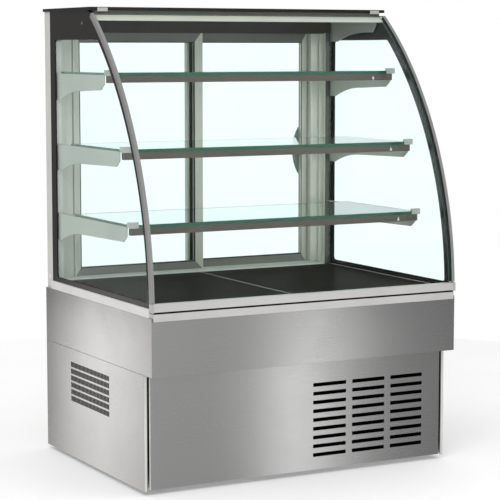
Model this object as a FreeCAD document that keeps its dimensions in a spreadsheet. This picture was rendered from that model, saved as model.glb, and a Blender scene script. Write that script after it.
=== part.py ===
import FreeCAD, Part
import os
import re
import Sketcher
from FreeCAD import Placement, Rotation, Vector

# Refrigerated pastry display case with a curved front glass that tips forward, two sliding
# rear doors, three glass shelves and a machine compartment underneath.
# Frame: origin on the floor under the middle of the case, +X to the customer's right,
# +Y towards the server, +Z up.  Millimetres.

doc = FreeCAD.newDocument("pastry_case")
sheet = doc.addObject("Spreadsheet::Sheet", "Dims")

DIMENSIONS = {
    # overall
    "case_width": 1000, "case_depth": 771, "case_height": 1360, "foot_rise": 12,
    "sheet_skin": 1.2, "seam_gap": 0.8,
    # lower cabinet
    "base_top": 342, "base_inset": 59, "panel_rise": 15, "panel_drop": 3, "panel_gap": 6,
    "corner_flange": 10, "panel_return": 15, "back_inset": 2.5,
    "tray_gauge": 2, "floor_flange": 25, "post_tube": 20, "post_side": 482, "post_wall": 2,
    # foot
    "foot_radius": 20, "foot_pad": 8, "stud_radius": 5, "foot_side": 415,
    "foot_front": -245, "foot_back": 310,
    # front grille, three columns of nine slots
    "front_slot_wide": 112, "front_slot_tall": 11, "front_slot_left": 43.5, "front_slot_low": 53,
    "front_slot_pitch": 133, "front_slot_step": 26, "front_slot_columns": 3, "front_slot_rows": 9,
    # side grille, six rows of upright slots
    "side_slot_wide": 5, "side_slot_tall": 15, "side_slot_front": -88.5, "side_slot_low": 182.6,
    "side_slot_pitch": 10.2, "side_slot_step": 20.8, "side_slot_columns": 28, "side_slot_rows": 6,
    # rear grille
    "rear_slot_wide": 90, "rear_slot_tall": 8, "rear_slot_left": 60, "rear_slot_low": 150,
    "rear_slot_pitch": 120, "rear_slot_step": 20, "rear_slot_columns": 3, "rear_slot_rows": 8,
    "slot_round": 1.5,
    # upper body
    "fascia_inset": 5.5, "fascia_top": 497.5, "side_skin_top": 506.5, "rail_back": -362,
    "foam_back": 320, "well_side": 450, "well_front": -340, "well_back": 290, "well_floor": 385,
    "rim_side": 484, "rim_front": -360, "rim_back": 318,
    "deck_top": 531, "deck_seam": 1,
    # fixed front rail, hinge bead and moving glass profile
    "rail_inset": 3, "rail_half": 495, "hinge_back": -378, "hinge_up": 517.5,
    "bead_radius": 3, "bead_play": 0.08, "neck_half": 1, "lip_front": 518.5, "lip_back": 520.2,
    "profile_low": 523, "profile_high": 546, "profile_back": -366,
    "groove_low": 530, "groove_front": -379.8, "groove_back": -373,
    "cap_low": 521.5, "cap_high": 547, "cap_back": -364,
    # glazing
    "glass_gauge": 6, "arc_back": 678.9, "arc_up": 515.4, "glass_radius": 1058.4,
    "glass_start": 0.85, "glass_end": 51.3, "trim_start": 1.8, "trim_width": 10,
    "trim_radius": 1059.4, "trim_depth": 15, "side_glass_radius": 1041.5,
    "side_glass_plane": 494, "side_glass_back": 343, "side_rail_wide": 14,
    "side_rail_top": 531.5, "side_groove_low": 515, "glass_play": 0.1,
    # rear posts, jambs and tracks
    "post_front": 320, "post_inner": 464, "post_outer_front": 343.3,
    "hook_slot_wide": 2, "hook_slot_tall": 14, "hook_slot_deep": 8, "hook_slot_side": 482.4,
    "hook_slot_low": 560, "hook_slot_step": 25, "hook_slots": 29,
    "jamb_inner": 422, "jamb_step": 449, "jamb_front": 335, "jamb_face": 343,
    "track_floor": 533, "track_lip": 540, "header_lip": 1288, "header_web": 1300,
    "lip_gauge": 2.5, "lip_middle": 359, "header_face": 314, "header_half": 479, "header_low": 1290,
    # roof and canopy
    "roof_gauge": 9, "roof_front": 21, "canopy_front": 26, "canopy_back": 62,
    "canopy_low": 1336, "lamp_low": 1320, "lamp_front": 7, "lamp_top_front": 24,
    "lamp_half": 484, "lamp_cap": 3.5,
    "catch_front": 17.5, "catch_low": 1347, "catch_high": 1358,
    "catch_middle": 462, "catch_wide": 32,
    # shelves
    "shelf_half": 478, "bracket_side": 484, "bracket_gauge": 3.2, "bracket_ledge": 16,
    "ledge_gauge": 2, "root_drop": 80, "arm_drop": 50, "tip_drop": 44, "chamfer_run": 24,
    "chamfer_drop": 27, "root_run": 34, "arm_run": 190, "root_arc": 410,
    "shelf_top_high": 1171.4, "shelf_top_front": -59, "shelf_top_back": 290,
    "shelf_middle_high": 957.4, "shelf_middle_front": -163, "shelf_middle_back": 220,
    "shelf_bottom_high": 747.4, "shelf_bottom_front": -208, "shelf_bottom_back": 198,
    "rail_drop": 23, "rail_deep": 18, "rail_wall": 2, "clip_wide": 30, "clip_deep": 12,
    "clip_tall": 14, "clip_skirt": 3, "rail_return": 16, "clip_wall": 4, "clip_lip": 5, "bracket_back": 17,
    "notch_place": 409, "notch_half": 4, "notch_low": 20, "notch_high": 8,
    # canopy arms
    "arm_tip": 43, "arm_low": 1312, "arm_chin": 61, "arm_chin_low": 1290, "arm_bend": 124,
    "arm_root": 275, "arm_root_low": 1262, "arm_arc": 480,
    # sliding doors
    "door_outer": 418, "door_overlap": 22.4, "door_low": 535, "door_high": 1298,
    "door_stile": 21.5, "meeting_stile": 31,
    "door_glass_low": 566, "door_glass_high": 1258, "door_gauge": 17,
    "door_left_front": 340, "door_right_front": 364, "pane_gauge": 5, "pane_bite": 6,
    "pull_wide": 12, "pull_tall": 120, "pull_deep": 5,
    "handle_middle": 906, "handle_half": 77, "handle_bulge": 22, "handle_lap": 16,
    "handle_gauge": 4.5, "handle_rim": 4, "dish_deep": 3,
    # evaporator in the well
    "evap_half": 300, "evap_front": -60, "evap_back": 120, "evap_low": 392, "evap_high": 470,
    "evap_fins": 40, "coil_plate": 3, "fin_gauge": 2, "coil_tube": 5,
    "evap_fan_half": 60, "evap_fan_front": 150, "evap_fan_deep": 28,
    "evap_fan_high": 492, "evap_fan_up": 440, "evap_bore": 47, "evap_tip": 44, "evap_hub": 16,
    # condenser and its fan
    "cond_left": 60, "cond_right": 410, "cond_front": -300, "cond_back": -240, "cond_low": 40,
    "cond_high": 300, "cond_fins": 36,
    "cond_fan_side": 235, "cond_fan_up": 170, "cond_fan_half": 140, "cond_fan_deep": 40,
    "cond_bore": 122, "cond_tip": 116, "cond_hub": 34,
    "fan_shaft": 4, "shaft_play": 0.06, "motor_long": 34, "spider_wide": 8, "shaft_back": 1,
    "blade_gauge": 3,
    # compressor and pipes
    "comp_side": -230, "comp_back": 40, "comp_radius": 82, "comp_wall": 6, "comp_low": 36,
    "comp_shoulder": 190, "comp_high": 236, "comp_crown": 95, "comp_cap": 14, "comp_plate": 5,
    "comp_plate_half": 105,
    "mount_radius": 14, "mount_side": 88, "pipe_radius": 4, "pipe_bend": 30, "pipe_up": 200,
    "pipe_across": 162, "pipe_forward": 310, "pipe_reach": 208,
    # condensate tray
    "tray_left": 60, "tray_right": 360, "tray_front": 130, "tray_low": 16.4, "tray_high": 60,
    "tray_wall": 2, "tray_play": 1.5, "tray_face": 64, "tray_rim": 8, "tray_gap": 0.3,
    "tray_pull": 35, "tray_pull_low": 62,
    # controller, inlet and switch
    "ctrl_left": -238, "ctrl_wide": 71, "ctrl_low": 415, "ctrl_tall": 29, "ctrl_front": 322,
    "bezel_rim": 2.5, "bezel_gauge": 2.4, "window_deep": 1, "window_in": 12, "window_wide": 38,
    "window_rim": 6,
    "inlet_left": -398, "inlet_wide": 46, "inlet_low": 62, "inlet_tall": 56, "inlet_front": 345,
    "socket_wide": 25, "socket_tall": 17, "socket_low": 68, "socket_deep": 20, "pin_half": 1,
    "pin_tall": 4, "pin_long": 12, "pin_spread": 7, "pin_up": 74.5,
    "rocker_wide": 20, "rocker_half": 10.5, "rocker_up": 104, "rocker_play": 0.5,
    "rocker_room": 1, "rocker_deep": 17, "rocker_axis": 379, "rocker_crown": 4.5,
    "rocker_dip": 2.5, "rocker_heel": 6, "rocker_toe": 5, "rocker_cheek": 1, "rocker_tilt": 8,
    "axle_radius": 1.5, "axle_play": 0.06, "axle_bite": 0.8,
    # screws
    "screw_head": 4.5, "screw_crown": 1.6, "screw_shank": 2, "screw_long": 6,
    "screw_side": 460, "screw_low": 45, "screw_base_high": 320, "screw_body_low": 360,
    "screw_body_high": 490, "glass_screw_long": 10,
    "glass_screw_back": 95, "glass_screw_up": 1314,
}

for row, (alias, value) in enumerate(DIMENSIONS.items(), start=1):
    cell = "B%d" % row
    sheet.set(cell, str(value))
    sheet.setAlias(cell, alias)
doc.recompute()

# Places that many pieces share, written with the sheet's names
SIDE = "case_width/2"
BACK = "case_depth/2"
BACK_SKIN = "(case_depth/2 - back_inset)"
BASE_FRONT = "(base_inset - case_depth/2)"
FASCIA = "(fascia_inset - case_depth/2)"
RAIL_FRONT = "(rail_inset - case_depth/2)"
ROOF_LOW = "(case_height - roof_gauge)"
GLASS_IN = "(side_glass_plane - glass_gauge)"
FLOOR_TOP = "(foot_rise + tray_gauge*2)"
WELL_UNDER = "(base_top + sheet_skin)"

PLANE_NORMALS = {"XY_Plane": "z", "XZ_Plane": "y", "YZ_Plane": "x"}
AXES = {"x": Vector(1, 0, 0), "y": Vector(0, 1, 0), "z": Vector(0, 0, 1)}
PARTS = {}


def ex(text):
    """Write a size given with the sheet's names as a FreeCAD expression."""
    return re.sub(r"[a-z]+(_[a-z]+)+", lambda word: "Dims." + word.group(), text)


def value(text):
    """Work out a size given with the sheet's names."""
    return float(sheet.evalExpression(ex(text)))


def node(name, piece):
    """Name a finished sub-part."""
    piece.Label = name
    PARTS[name] = piece
    return piece


# ---------- Part primitives ----------

def block(x, y, z, name="block"):
    """A rectangular block between two bounds on each axis."""
    box = doc.addObject("Part::Box", name)
    for size, axis, (low, high) in (("Length", "x", x), ("Width", "y", y), ("Height", "z", z)):
        box.setExpression(size, ex("(%s) - (%s)" % (high, low)))
        box.setExpression("Placement.Base." + axis, ex(low))
    return box


def rod(along, start, radius, length, name="rod"):
    """A round bar from a start point along one axis."""
    bar = doc.addObject("Part::Cylinder", name)
    bar.Placement = Placement(Vector(), Rotation(AXES["z"], AXES[along]))
    bar.setExpression("Radius", ex(radius))
    bar.setExpression("Height", ex(length))
    for axis, place in zip("xyz", start):
        bar.setExpression("Placement.Base." + axis, ex(place))
    return bar


def fuse(pieces):
    joined = doc.addObject("Part::MultiFuse", "joined")
    joined.Shapes = pieces
    return joined


def cut(base, tool):
    remainder = doc.addObject("Part::Cut", "remainder")
    remainder.Base = base
    remainder.Tool = tool
    return remainder


def common(first, second):
    shared = doc.addObject("Part::Common", "shared")
    shared.Base = first
    shared.Tool = second
    return shared


def group(pieces):
    """Separate solids kept together as one sub-part."""
    gathered = doc.addObject("Part::Compound", "gathered")
    gathered.Links = pieces
    return gathered


def mirror(piece, normal=AXES["x"]):
    """The same piece on the other side of the case."""
    twin = doc.addObject("Part::Mirroring", "twin")
    twin.Source = piece
    twin.Normal = normal
    return twin


def pair(name, piece):
    """Two mirrored solids in one sub-part."""
    return node(name, group([piece, mirror(piece)]))


# ---------- PartDesign bodies ----------

def new_body(name):
    return doc.addObject("PartDesign::Body", name)


def origin_feature(body, role):
    return next(item for item in body.Origin.OriginFeatures if item.Role == role)


def bind(sketch, kind, arguments, size):
    """Add a sketch constraint whose value follows the sheet."""
    index = sketch.addConstraint(Sketcher.Constraint(kind, *arguments, value(size)))
    sketch.setExpression("Constraints[%d]" % index, ex(size))


def new_sketch(body, plane, name):
    sketch = body.newObject("Sketcher::SketchObject", name)
    sketch.AttachmentSupport = [(origin_feature(body, plane), "")]
    sketch.MapMode = "FlatFace"
    return sketch


def arc_between(start, end, radius):
    """The short arc between two points; a positive radius turns to the left."""
    chord = end - start
    half = chord.Length / 2
    rise = (radius * radius - half * half) ** 0.5
    left = Vector(-chord.y, chord.x, 0).normalize()
    centre = (start + end) * 0.5 + left * (rise if radius > 0 else -rise)
    circle = Part.Circle(centre, AXES["z"], abs(radius))
    first, last = (start, end) if radius > 0 else (end, start)
    return Part.ArcOfCircle(circle, circle.parameter(first), circle.parameter(last))


def draw_outline(sketch, points, closed=True):
    """Draw a closed outline, or an open path.

    A point is (across, up) or (across, up, radius), where the radius makes the edge that
    leaves the point an arc.  Every point and radius is bound to the sheet."""
    places = [Vector(value(point[0]), value(point[1]), 0) for point in points]
    starts = points if closed else points[:-1]
    edges = []
    for index, point in enumerate(starts):
        start = places[index]
        end = places[(index + 1) % len(points)]
        if len(point) == 2:
            edges.append((sketch.addGeometry(Part.LineSegment(start, end), False), 1, 2))
            continue
        radius = value(point[2])
        arc = sketch.addGeometry(arc_between(start, end, radius), False)
        edges.append((arc, 1, 2) if radius > 0 else (arc, 2, 1))
    followers = edges[1:] + edges[:1] if closed else edges[1:]
    for (edge, _, tail), (follower, head, _) in zip(edges, followers):
        sketch.addConstraint(Sketcher.Constraint("Coincident", edge, tail, follower, head))
    for (edge, head, _), point in zip(edges, starts):
        bind(sketch, "DistanceX", (-1, 1, edge, head), point[0])
        bind(sketch, "DistanceY", (-1, 1, edge, head), point[1])
        if len(point) == 3:
            bind(sketch, "Radius", (edge,), "abs(%s)" % point[2])
    if not closed:
        edge, _, tail = edges[-1]
        bind(sketch, "DistanceX", (-1, 1, edge, tail), points[-1][0])
        bind(sketch, "DistanceY", (-1, 1, edge, tail), points[-1][1])


def draw_circle(sketch, across, up, radius):
    centre = Vector(value(across), value(up), 0)
    ring = sketch.addGeometry(Part.Circle(centre, AXES["z"], value(radius)), False)
    bind(sketch, "DistanceX", (-1, 1, ring, 3), across)
    bind(sketch, "DistanceY", (-1, 1, ring, 3), up)
    bind(sketch, "Radius", (ring,), radius)


def rectangle(left, right, low, high):
    return [(left, low), (right, low), (right, high), (left, high)]


def rounded(left, right, low, high, radius):
    """A rectangle with rounded corners, drawn anticlockwise."""
    return [("%s + %s" % (left, radius), low), ("%s - %s" % (right, radius), low, radius),
            (right, "%s + %s" % (low, radius)), (right, "%s - %s" % (high, radius), radius),
            ("%s - %s" % (right, radius), high), ("%s + %s" % (left, radius), high, radius),
            (left, "%s - %s" % (high, radius)), (left, "%s + %s" % (low, radius), radius)]


def pad(body, plane, points, length):
    """Pad an outline from the body's own plane, along +X, +Y or +Z."""
    sketch = new_sketch(body, plane, "outline")
    draw_outline(sketch, points)
    feature = body.newObject("PartDesign::Pad", "pad")
    feature.Profile = sketch
    feature.setExpression("Length", ex(length))
    feature.Reversed = plane == "XZ_Plane"
    return sketch


def extrusion(name, plane, points, start, end):
    """A body of constant section between two stations along the plane's normal."""
    body = new_body(name)
    body.setExpression("Placement.Base." + PLANE_NORMALS[plane], ex(start))
    pad(body, plane, points, "(%s) - (%s)" % (end, start))
    return body


def pocket(body, sketch, depth=None):
    """Pocket a sketch both ways through the body, or to a depth about its plane."""
    doc.recompute()
    before = body.Shape.Volume
    feature = body.newObject("PartDesign::Pocket", "pocket")
    feature.Profile = sketch
    feature.Midplane = True
    if depth is None:
        feature.Type = "ThroughAll"
    else:
        feature.setExpression("Length", ex("(%s) * 2" % depth))
    doc.recompute()
    if body.Shape.Volume >= before:
        raise RuntimeError("a pocket in %s cuts nothing" % body.Label)
    return feature


def pocket_outline(body, plane, points, depth=None):
    sketch = new_sketch(body, plane, "pocket_outline")
    draw_outline(sketch, points)
    return pocket(body, sketch, depth), sketch


def slot_grid(body, plane, prefix, left, low, depth=None):
    """Cut a grid of rounded slots whose sizes are the sheet's cells with this prefix."""
    outline = rounded(left, "%s + %s_wide" % (left, prefix),
                      low, "%s + %s_tall" % (low, prefix), "slot_round")
    feature, sketch = pocket_outline(body, plane, outline, depth)
    pattern = body.newObject("PartDesign::LinearPattern", "slot_pattern")
    pattern.Originals = [feature]
    pattern.Direction = (sketch, ["H_Axis"])
    pattern.Direction2 = (sketch, ["V_Axis"])
    pattern.setExpression("Length", ex("(%s_columns - 1) * %s_pitch" % (prefix, prefix)))
    pattern.setExpression("Length2", ex("(%s_rows - 1) * %s_step" % (prefix, prefix)))
    pattern.setExpression("Occurrences", ex("%s_columns" % prefix))
    pattern.setExpression("Occurrences2", ex("%s_rows" % prefix))
    body.Tip = pattern


def revolved(name, plane, points, axis, angle=None, reverse=False):
    """A body turned about one of its own axes, all the way or through an angle."""
    body = new_body(name)
    sketch = new_sketch(body, plane, "section")
    draw_outline(sketch, points)
    feature = body.newObject("PartDesign::Revolution", "revolution")
    feature.Profile = sketch
    feature.ReferenceAxis = (origin_feature(body, axis), [""])
    feature.Reversed = reverse
    if angle is None:
        feature.Angle = 360
    else:
        feature.setExpression("Angle", ex(angle))
    return body


# ---------- lower cabinet ----------

def base_floor():
    """Folded floor tray of the machine compartment, flanged up at both sides."""
    half = "(case_width/2 - corner_flange - panel_gap + tray_gauge)"
    low = "(foot_rise + tray_gauge)"
    section = [("-%s" % half, low), (half, low), (half, "%s + floor_flange" % low),
               ("%s - tray_gauge" % half, "%s + floor_flange" % low),
               ("%s - tray_gauge" % half, FLOOR_TOP), ("tray_gauge - %s" % half, FLOOR_TOP),
               ("tray_gauge - %s" % half, "%s + floor_flange" % low),
               ("-%s" % half, "%s + floor_flange" % low)]
    node("base_floor", extrusion("base_floor", "XZ_Plane", section,
                                 "%s + panel_return + sheet_skin" % BASE_FRONT,
                                 "%s - sheet_skin" % BACK_SKIN))


def base_uprights():
    """Four square tubes that carry the insulated body."""
    tubes = []
    front = "%s + panel_return + sheet_skin*2" % BASE_FRONT
    rear = "%s - sheet_skin*2 - post_tube" % BACK_SKIN
    for near in (front, rear):
        outer = block(("post_side - post_tube", "post_side"), (near, "%s + post_tube" % near),
                      (FLOOR_TOP, WELL_UNDER))
        hollow = block(("post_side - post_tube + post_wall", "post_side - post_wall"),
                       ("%s + post_wall" % near, "%s + post_tube - post_wall" % near),
                       (FLOOR_TOP, WELL_UNDER))
        tube = cut(outer, hollow)
        tubes += [tube, mirror(tube)]
    node("base_uprights", group(tubes))


def levelling_feet():
    """Four round pads, each on its threaded stud."""
    feet = []
    for back in ("foot_front", "foot_back"):
        for side in ("-foot_side", "foot_side"):
            pad_disc = rod("z", (side, back, "0"), "foot_radius", "foot_pad")
            stud = rod("z", (side, back, "0"), "stud_radius", "foot_rise + tray_gauge")
            feet.append(fuse([pad_disc, stud]))
    node("levelling_feet", group(feet))


def lower_side_panel(name, sign, grille):
    """Outer skin of the machine compartment, flanged in at front and back."""
    outer = "%s*case_width/2" % sign
    skin = "%s*(case_width/2 - sheet_skin)" % sign
    flange = "%s*(case_width/2 - corner_flange)" % sign
    section = [(outer, BASE_FRONT), (flange, BASE_FRONT), (flange, "%s + sheet_skin" % BASE_FRONT),
               (skin, "%s + sheet_skin" % BASE_FRONT), (skin, "%s - sheet_skin" % BACK),
               (flange, "%s - sheet_skin" % BACK), (flange, BACK), (outer, BACK)]
    body = extrusion(name, "XY_Plane", section, "foot_rise", "base_top - seam_gap")
    if grille:
        slot_grid(body, "YZ_Plane", "side_slot", "side_slot_front", "(side_slot_low - foot_rise)")
    node(name, body)


def front_service_panel():
    """Lift-off front panel with three columns of air slots."""
    half = "(case_width/2 - corner_flange - panel_gap)"
    back = "%s + panel_return" % BASE_FRONT
    inner = "%s + sheet_skin" % BASE_FRONT
    section = [("-%s" % half, BASE_FRONT), (half, BASE_FRONT), (half, back),
               ("%s - sheet_skin" % half, back), ("%s - sheet_skin" % half, inner),
               ("sheet_skin - %s" % half, inner), ("sheet_skin - %s" % half, back),
               ("-%s" % half, back)]
    body = extrusion("front_service_panel", "XY_Plane", section, "panel_rise",
                     "base_top - panel_drop")
    slot_grid(body, "XZ_Plane", "front_slot", "front_slot_left",
              "(front_slot_low - panel_rise)")
    node("front_service_panel", body)


def rear_service_panel():
    """Rear cover with air slots and openings for the tray and the power inlet."""
    half = "(case_width/2 - corner_flange - panel_gap - sheet_skin)"
    body = extrusion("rear_service_panel", "XZ_Plane",
                     rectangle("-%s" % half, half, "panel_rise", "base_top - panel_drop"),
                     "%s - sheet_skin" % BACK_SKIN, BACK_SKIN)
    slot_grid(body, "XZ_Plane", "rear_slot", "rear_slot_left", "rear_slot_low")
    pocket_outline(body, "XZ_Plane", rectangle("tray_left - tray_play", "tray_right + tray_play",
                                               "panel_rise", "tray_face + tray_play"))
    pocket_outline(body, "XZ_Plane", rectangle("inlet_left", "inlet_left + inlet_wide",
                                               "inlet_low", "inlet_low + inlet_tall"))
    node("rear_service_panel", body)


# ---------- insulated upper body ----------

def upper_front_panel():
    """Brushed fascia, returned under the overhang and over the well's edge."""
    inner = "%s + sheet_skin" % FASCIA
    section = [(FASCIA, "base_top"), (BASE_FRONT, "base_top"), (BASE_FRONT, WELL_UNDER),
               (inner, WELL_UNDER), (inner, "fascia_top - sheet_skin"),
               ("rail_back", "fascia_top - sheet_skin"), ("rail_back", "fascia_top"),
               (FASCIA, "fascia_top")]
    node("upper_front_panel", extrusion("upper_front_panel", "YZ_Plane", section,
                                        "sheet_skin - case_width/2", "case_width/2 - sheet_skin"))


def upper_side_panel():
    """Brushed side skin whose top edge turns in under the glass channel."""
    inner = "case_width/2 - sheet_skin"
    skin = block((inner, SIDE), (FASCIA, BACK), ("base_top", "side_skin_top"))
    flange = block(("case_width/2 - side_rail_wide", inner), ("rail_back", BACK),
                   ("side_skin_top - sheet_skin", "side_skin_top"))
    return fuse([skin, flange])


def upper_rear_panel():
    """Rear skin of the insulated body, cut out for the temperature controller."""
    half = "(case_width/2 - sheet_skin)"
    body = extrusion("upper_rear_panel", "XZ_Plane",
                     rectangle("-%s" % half, half, "base_top", "side_skin_top - sheet_skin"),
                     "%s - sheet_skin" % BACK_SKIN, BACK_SKIN)
    pocket_outline(body, "XZ_Plane", rectangle("ctrl_left", "ctrl_left + ctrl_wide",
                                               "ctrl_low", "ctrl_low + ctrl_tall"))
    node("upper_rear_panel", body)


def insulated_well():
    """Foam body between the outer skins, and the stainless well pressed into it."""
    half = "(case_width/2 - sheet_skin)"
    rim_low = "(fascia_top - sheet_skin)"
    foam = block(("-%s" % half, half), ("%s + sheet_skin" % FASCIA, "foam_back"),
                 (WELL_UNDER, rim_low))
    well = block(("-well_side", "well_side"), ("well_front", "well_back"), ("well_floor", rim_low))
    node("tank_insulation", cut(foam, well))
    tub = block(("-well_side", "well_side"), ("well_front", "well_back"), ("well_floor", rim_low))
    rim = block(("-rim_side", "rim_side"), ("rim_front", "rim_back"), (rim_low, "fascia_top"))
    bowl = block(("sheet_skin - well_side", "well_side - sheet_skin"),
                 ("well_front + sheet_skin", "well_back - sheet_skin"),
                 ("well_floor + sheet_skin", "fascia_top"))
    node("tank_liner", cut(fuse([tub, rim]), bowl))


def deck_plate():
    """Removable display deck, an inverted tray that stands on the well's rim."""
    outer = block(("deck_seam", "rim_side"), ("rim_front + deck_seam", "rim_back - deck_seam"),
                  ("fascia_top", "deck_top"))
    inner = block(("deck_seam + sheet_skin", "rim_side - sheet_skin"),
                  ("rim_front + deck_seam + sheet_skin", "rim_back - deck_seam - sheet_skin"),
                  ("fascia_top", "deck_top - sheet_skin"))
    return cut(outer, inner)


def front_rail():
    """Fixed aluminium rail whose top edge is the socket of the glass hinge."""
    play = "(bead_radius + bead_play)"
    reach = "sqrt(%s*%s - (lip_front - hinge_up)*(lip_front - hinge_up))" % (play, play)
    back_reach = "sqrt(%s*%s - (lip_back - hinge_up)*(lip_back - hinge_up))" % (play, play)
    section = [(RAIL_FRONT, "fascia_top"), ("rail_back", "fascia_top"), ("rail_back", "lip_back"),
               ("hinge_back + %s" % back_reach, "lip_back", "-1*%s" % play),
               ("hinge_back", "hinge_up - %s" % play, "-1*%s" % play),
               ("hinge_back - %s" % reach, "lip_front"), (RAIL_FRONT, "lip_front")]
    node("front_rail", extrusion("front_rail", "YZ_Plane", section, "-rail_half", "rail_half"))


def side_rail():
    """Aluminium channel along the side, grooved for the side glass."""
    inner = "case_width/2 - side_rail_wide"
    slot_in = "%s - glass_play" % GLASS_IN
    slot_out = "side_glass_plane + glass_play"
    section = [(inner, "side_skin_top"), (SIDE, "side_skin_top"), (SIDE, "side_rail_top"),
               (slot_out, "side_rail_top"), (slot_out, "side_groove_low"),
               (slot_in, "side_groove_low"), (slot_in, "side_rail_top"), (inner, "side_rail_top")]
    return extrusion("side_channel", "XZ_Plane", section, "rail_back", "side_glass_back")


# ---------- glazing ----------

def side_glass():
    """Flat side pane whose front edge follows the curved glass."""
    pane = block((GLASS_IN, "side_glass_plane"), ("rail_back + glass_play", "side_glass_back"),
                 ("side_groove_low + glass_play", ROOF_LOW))
    disc = rod("x", (GLASS_IN, "arc_back", "arc_up"), "side_glass_radius", "glass_gauge")
    return common(pane, disc)


def curved(name, section, start, end):
    """A section turned up the glass's arc, from one angle above the horizontal to another."""
    body = revolved(name, "XY_Plane", section, "X_Axis", "%s - %s" % (end, start), True)
    body.Placement = Placement(Vector(), Rotation(AXES["x"] * -1, 1))
    body.setExpression("Placement.Base.y", ex("arc_back"))
    body.setExpression("Placement.Base.z", ex("arc_up"))
    body.setExpression("Placement.Rotation.Angle", ex(start))
    return body


def front_glass():
    """Curved toughened glass that leans back over the shelves."""
    section = rectangle("-rail_half", "rail_half", "-glass_radius", "glass_gauge - glass_radius")
    node("front_glass", curved("front_glass", section, "glass_start", "glass_end"))


def glass_edge_trims():
    """Channel along each side edge of the curved glass."""
    inner = "trim_depth - trim_radius"
    section = [("case_width/2 - trim_width", "-trim_radius"), (SIDE, "-trim_radius"),
               (SIDE, inner), ("case_width/2 - trim_width", inner),
               ("case_width/2 - trim_width", "glass_gauge - glass_radius"),
               ("rail_half", "glass_gauge - glass_radius"), ("rail_half", "-glass_radius"),
               ("case_width/2 - trim_width", "-glass_radius")]
    pair("glass_edge_trims", curved("edge_trim", section, "trim_start", "glass_end"))


def glass_profile():
    """Moving aluminium profile: the channel that holds the glass, on its hinge bead."""
    left = "hinge_back - neck_half"
    right = "hinge_back + neck_half"
    neck = "hinge_up + sqrt(bead_radius*bead_radius - neck_half*neck_half)"
    turn = "bead_radius"
    section = [(left, neck, turn), ("hinge_back - bead_radius", "hinge_up", turn),
               ("hinge_back", "hinge_up - bead_radius", turn),
               ("hinge_back + bead_radius", "hinge_up", turn), (right, neck),
               (right, "profile_low"), ("profile_back", "profile_low"),
               ("profile_back", "profile_high"), ("groove_back", "profile_high"),
               ("groove_back", "groove_low"), ("groove_front", "groove_low"),
               ("groove_front", "profile_high"), (RAIL_FRONT, "profile_high"),
               (RAIL_FRONT, "profile_low"), (left, "profile_low")]
    node("glass_profile", extrusion("glass_profile", "YZ_Plane", section,
                                    "-rail_half", "rail_half"))


def profile_end_caps():
    """Moulded cap on each end of the moving profile."""
    pair("profile_end_caps", block(("rail_half", SIDE), ("-case_depth/2", "cap_back"),
                                   ("cap_low", "cap_high")))


# ---------- rear frame ----------

def corner_post():
    """Slotted aluminium post that carries the shelves and the roof."""
    pane_in = "case_width/2 - side_rail_wide - glass_play"
    section = [("post_inner", "post_front"), (pane_in, "post_front"),
               (pane_in, "post_outer_front"), ("side_glass_plane", "post_outer_front"),
               ("side_glass_plane", BACK), ("post_inner", BACK)]
    body = extrusion("corner_post", "XY_Plane", section, "side_skin_top", ROOF_LOW)
    half = "hook_slot_wide/2"
    low = "(hook_slot_low - side_skin_top)"
    outline = rectangle("hook_slot_side - %s" % half, "hook_slot_side + %s" % half,
                        low, "%s + hook_slot_tall" % low)
    sketch = new_sketch(body, "XZ_Plane", "hook_slot")
    draw_outline(sketch, outline)
    slot = pocket(body, sketch, "post_front + hook_slot_deep")
    pattern = body.newObject("PartDesign::LinearPattern", "slot_pattern")
    pattern.Originals = [slot]
    pattern.Direction = (sketch, ["V_Axis"])
    pattern.setExpression("Length", ex("(hook_slots - 1) * hook_slot_step"))
    pattern.setExpression("Occurrences", ex("hook_slots"))
    body.Tip = pattern
    return body


def door_jambs():
    """Stepped upright that closes the space between a post and its sliding door."""
    inner = "post_inner - glass_play"
    section = [("jamb_inner", "jamb_face"), ("jamb_step", "jamb_face"),
               ("jamb_step", "jamb_front"), (inner, "jamb_front"), (inner, BACK),
               ("jamb_inner", BACK)]
    pair("door_jambs", extrusion("jamb", "XY_Plane", section, "track_lip", "header_lip"))


def track_lips(low, high):
    """The three lips between which the two doors slide."""
    half = "post_inner"
    fronts = ("jamb_front", "lip_middle", "%s - lip_gauge" % BACK)
    return [block(("-%s" % half, half), (front, "%s + lip_gauge" % front), (low, high))
            for front in fronts]


def door_tracks():
    """Bottom track and roof header, each with two channels for the sliding doors."""
    sill = block(("-post_inner", "post_inner"), ("post_front", BACK),
                 ("side_skin_top", "deck_top"))
    ledge = block(("-post_inner", "post_inner"), ("jamb_front", BACK), ("deck_top", "track_floor"))
    node("door_track_bottom", fuse([sill, ledge] + track_lips("track_floor", "track_lip")))
    web = block(("-post_inner", "post_inner"), ("post_front", BACK), ("header_web", ROOF_LOW))
    face = block(("-header_half", "header_half"), ("header_face", "post_front"),
                 ("header_low", ROOF_LOW))
    node("rear_header", fuse([web, face] + track_lips("header_lip", "header_web")))


# ---------- roof and lamp ----------

def roof_panel():
    node("roof_panel", block(("-case_width/2", SIDE), ("roof_front", BACK),
                             (ROOF_LOW, "case_height")))


def canopy_profile():
    """Aluminium cross member under the roof's front edge."""
    node("canopy_profile", block(("-lamp_half", "lamp_half"), ("canopy_front", "canopy_back"),
                                 ("canopy_low", ROOF_LOW)))


def lamp():
    """Lamp bar whose diffuser slopes with the glass, and its two end caps."""
    section = [("lamp_front", "lamp_low"), ("canopy_back", "lamp_low"),
               ("canopy_back", "canopy_low"), ("lamp_top_front", "canopy_low")]
    node("lamp_bar", extrusion("lamp_bar", "YZ_Plane", section, "-lamp_half", "lamp_half"))
    pair("lamp_end_caps", extrusion("lamp_cap", "YZ_Plane", section, "lamp_half",
                                    "lamp_half + lamp_cap"))


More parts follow.
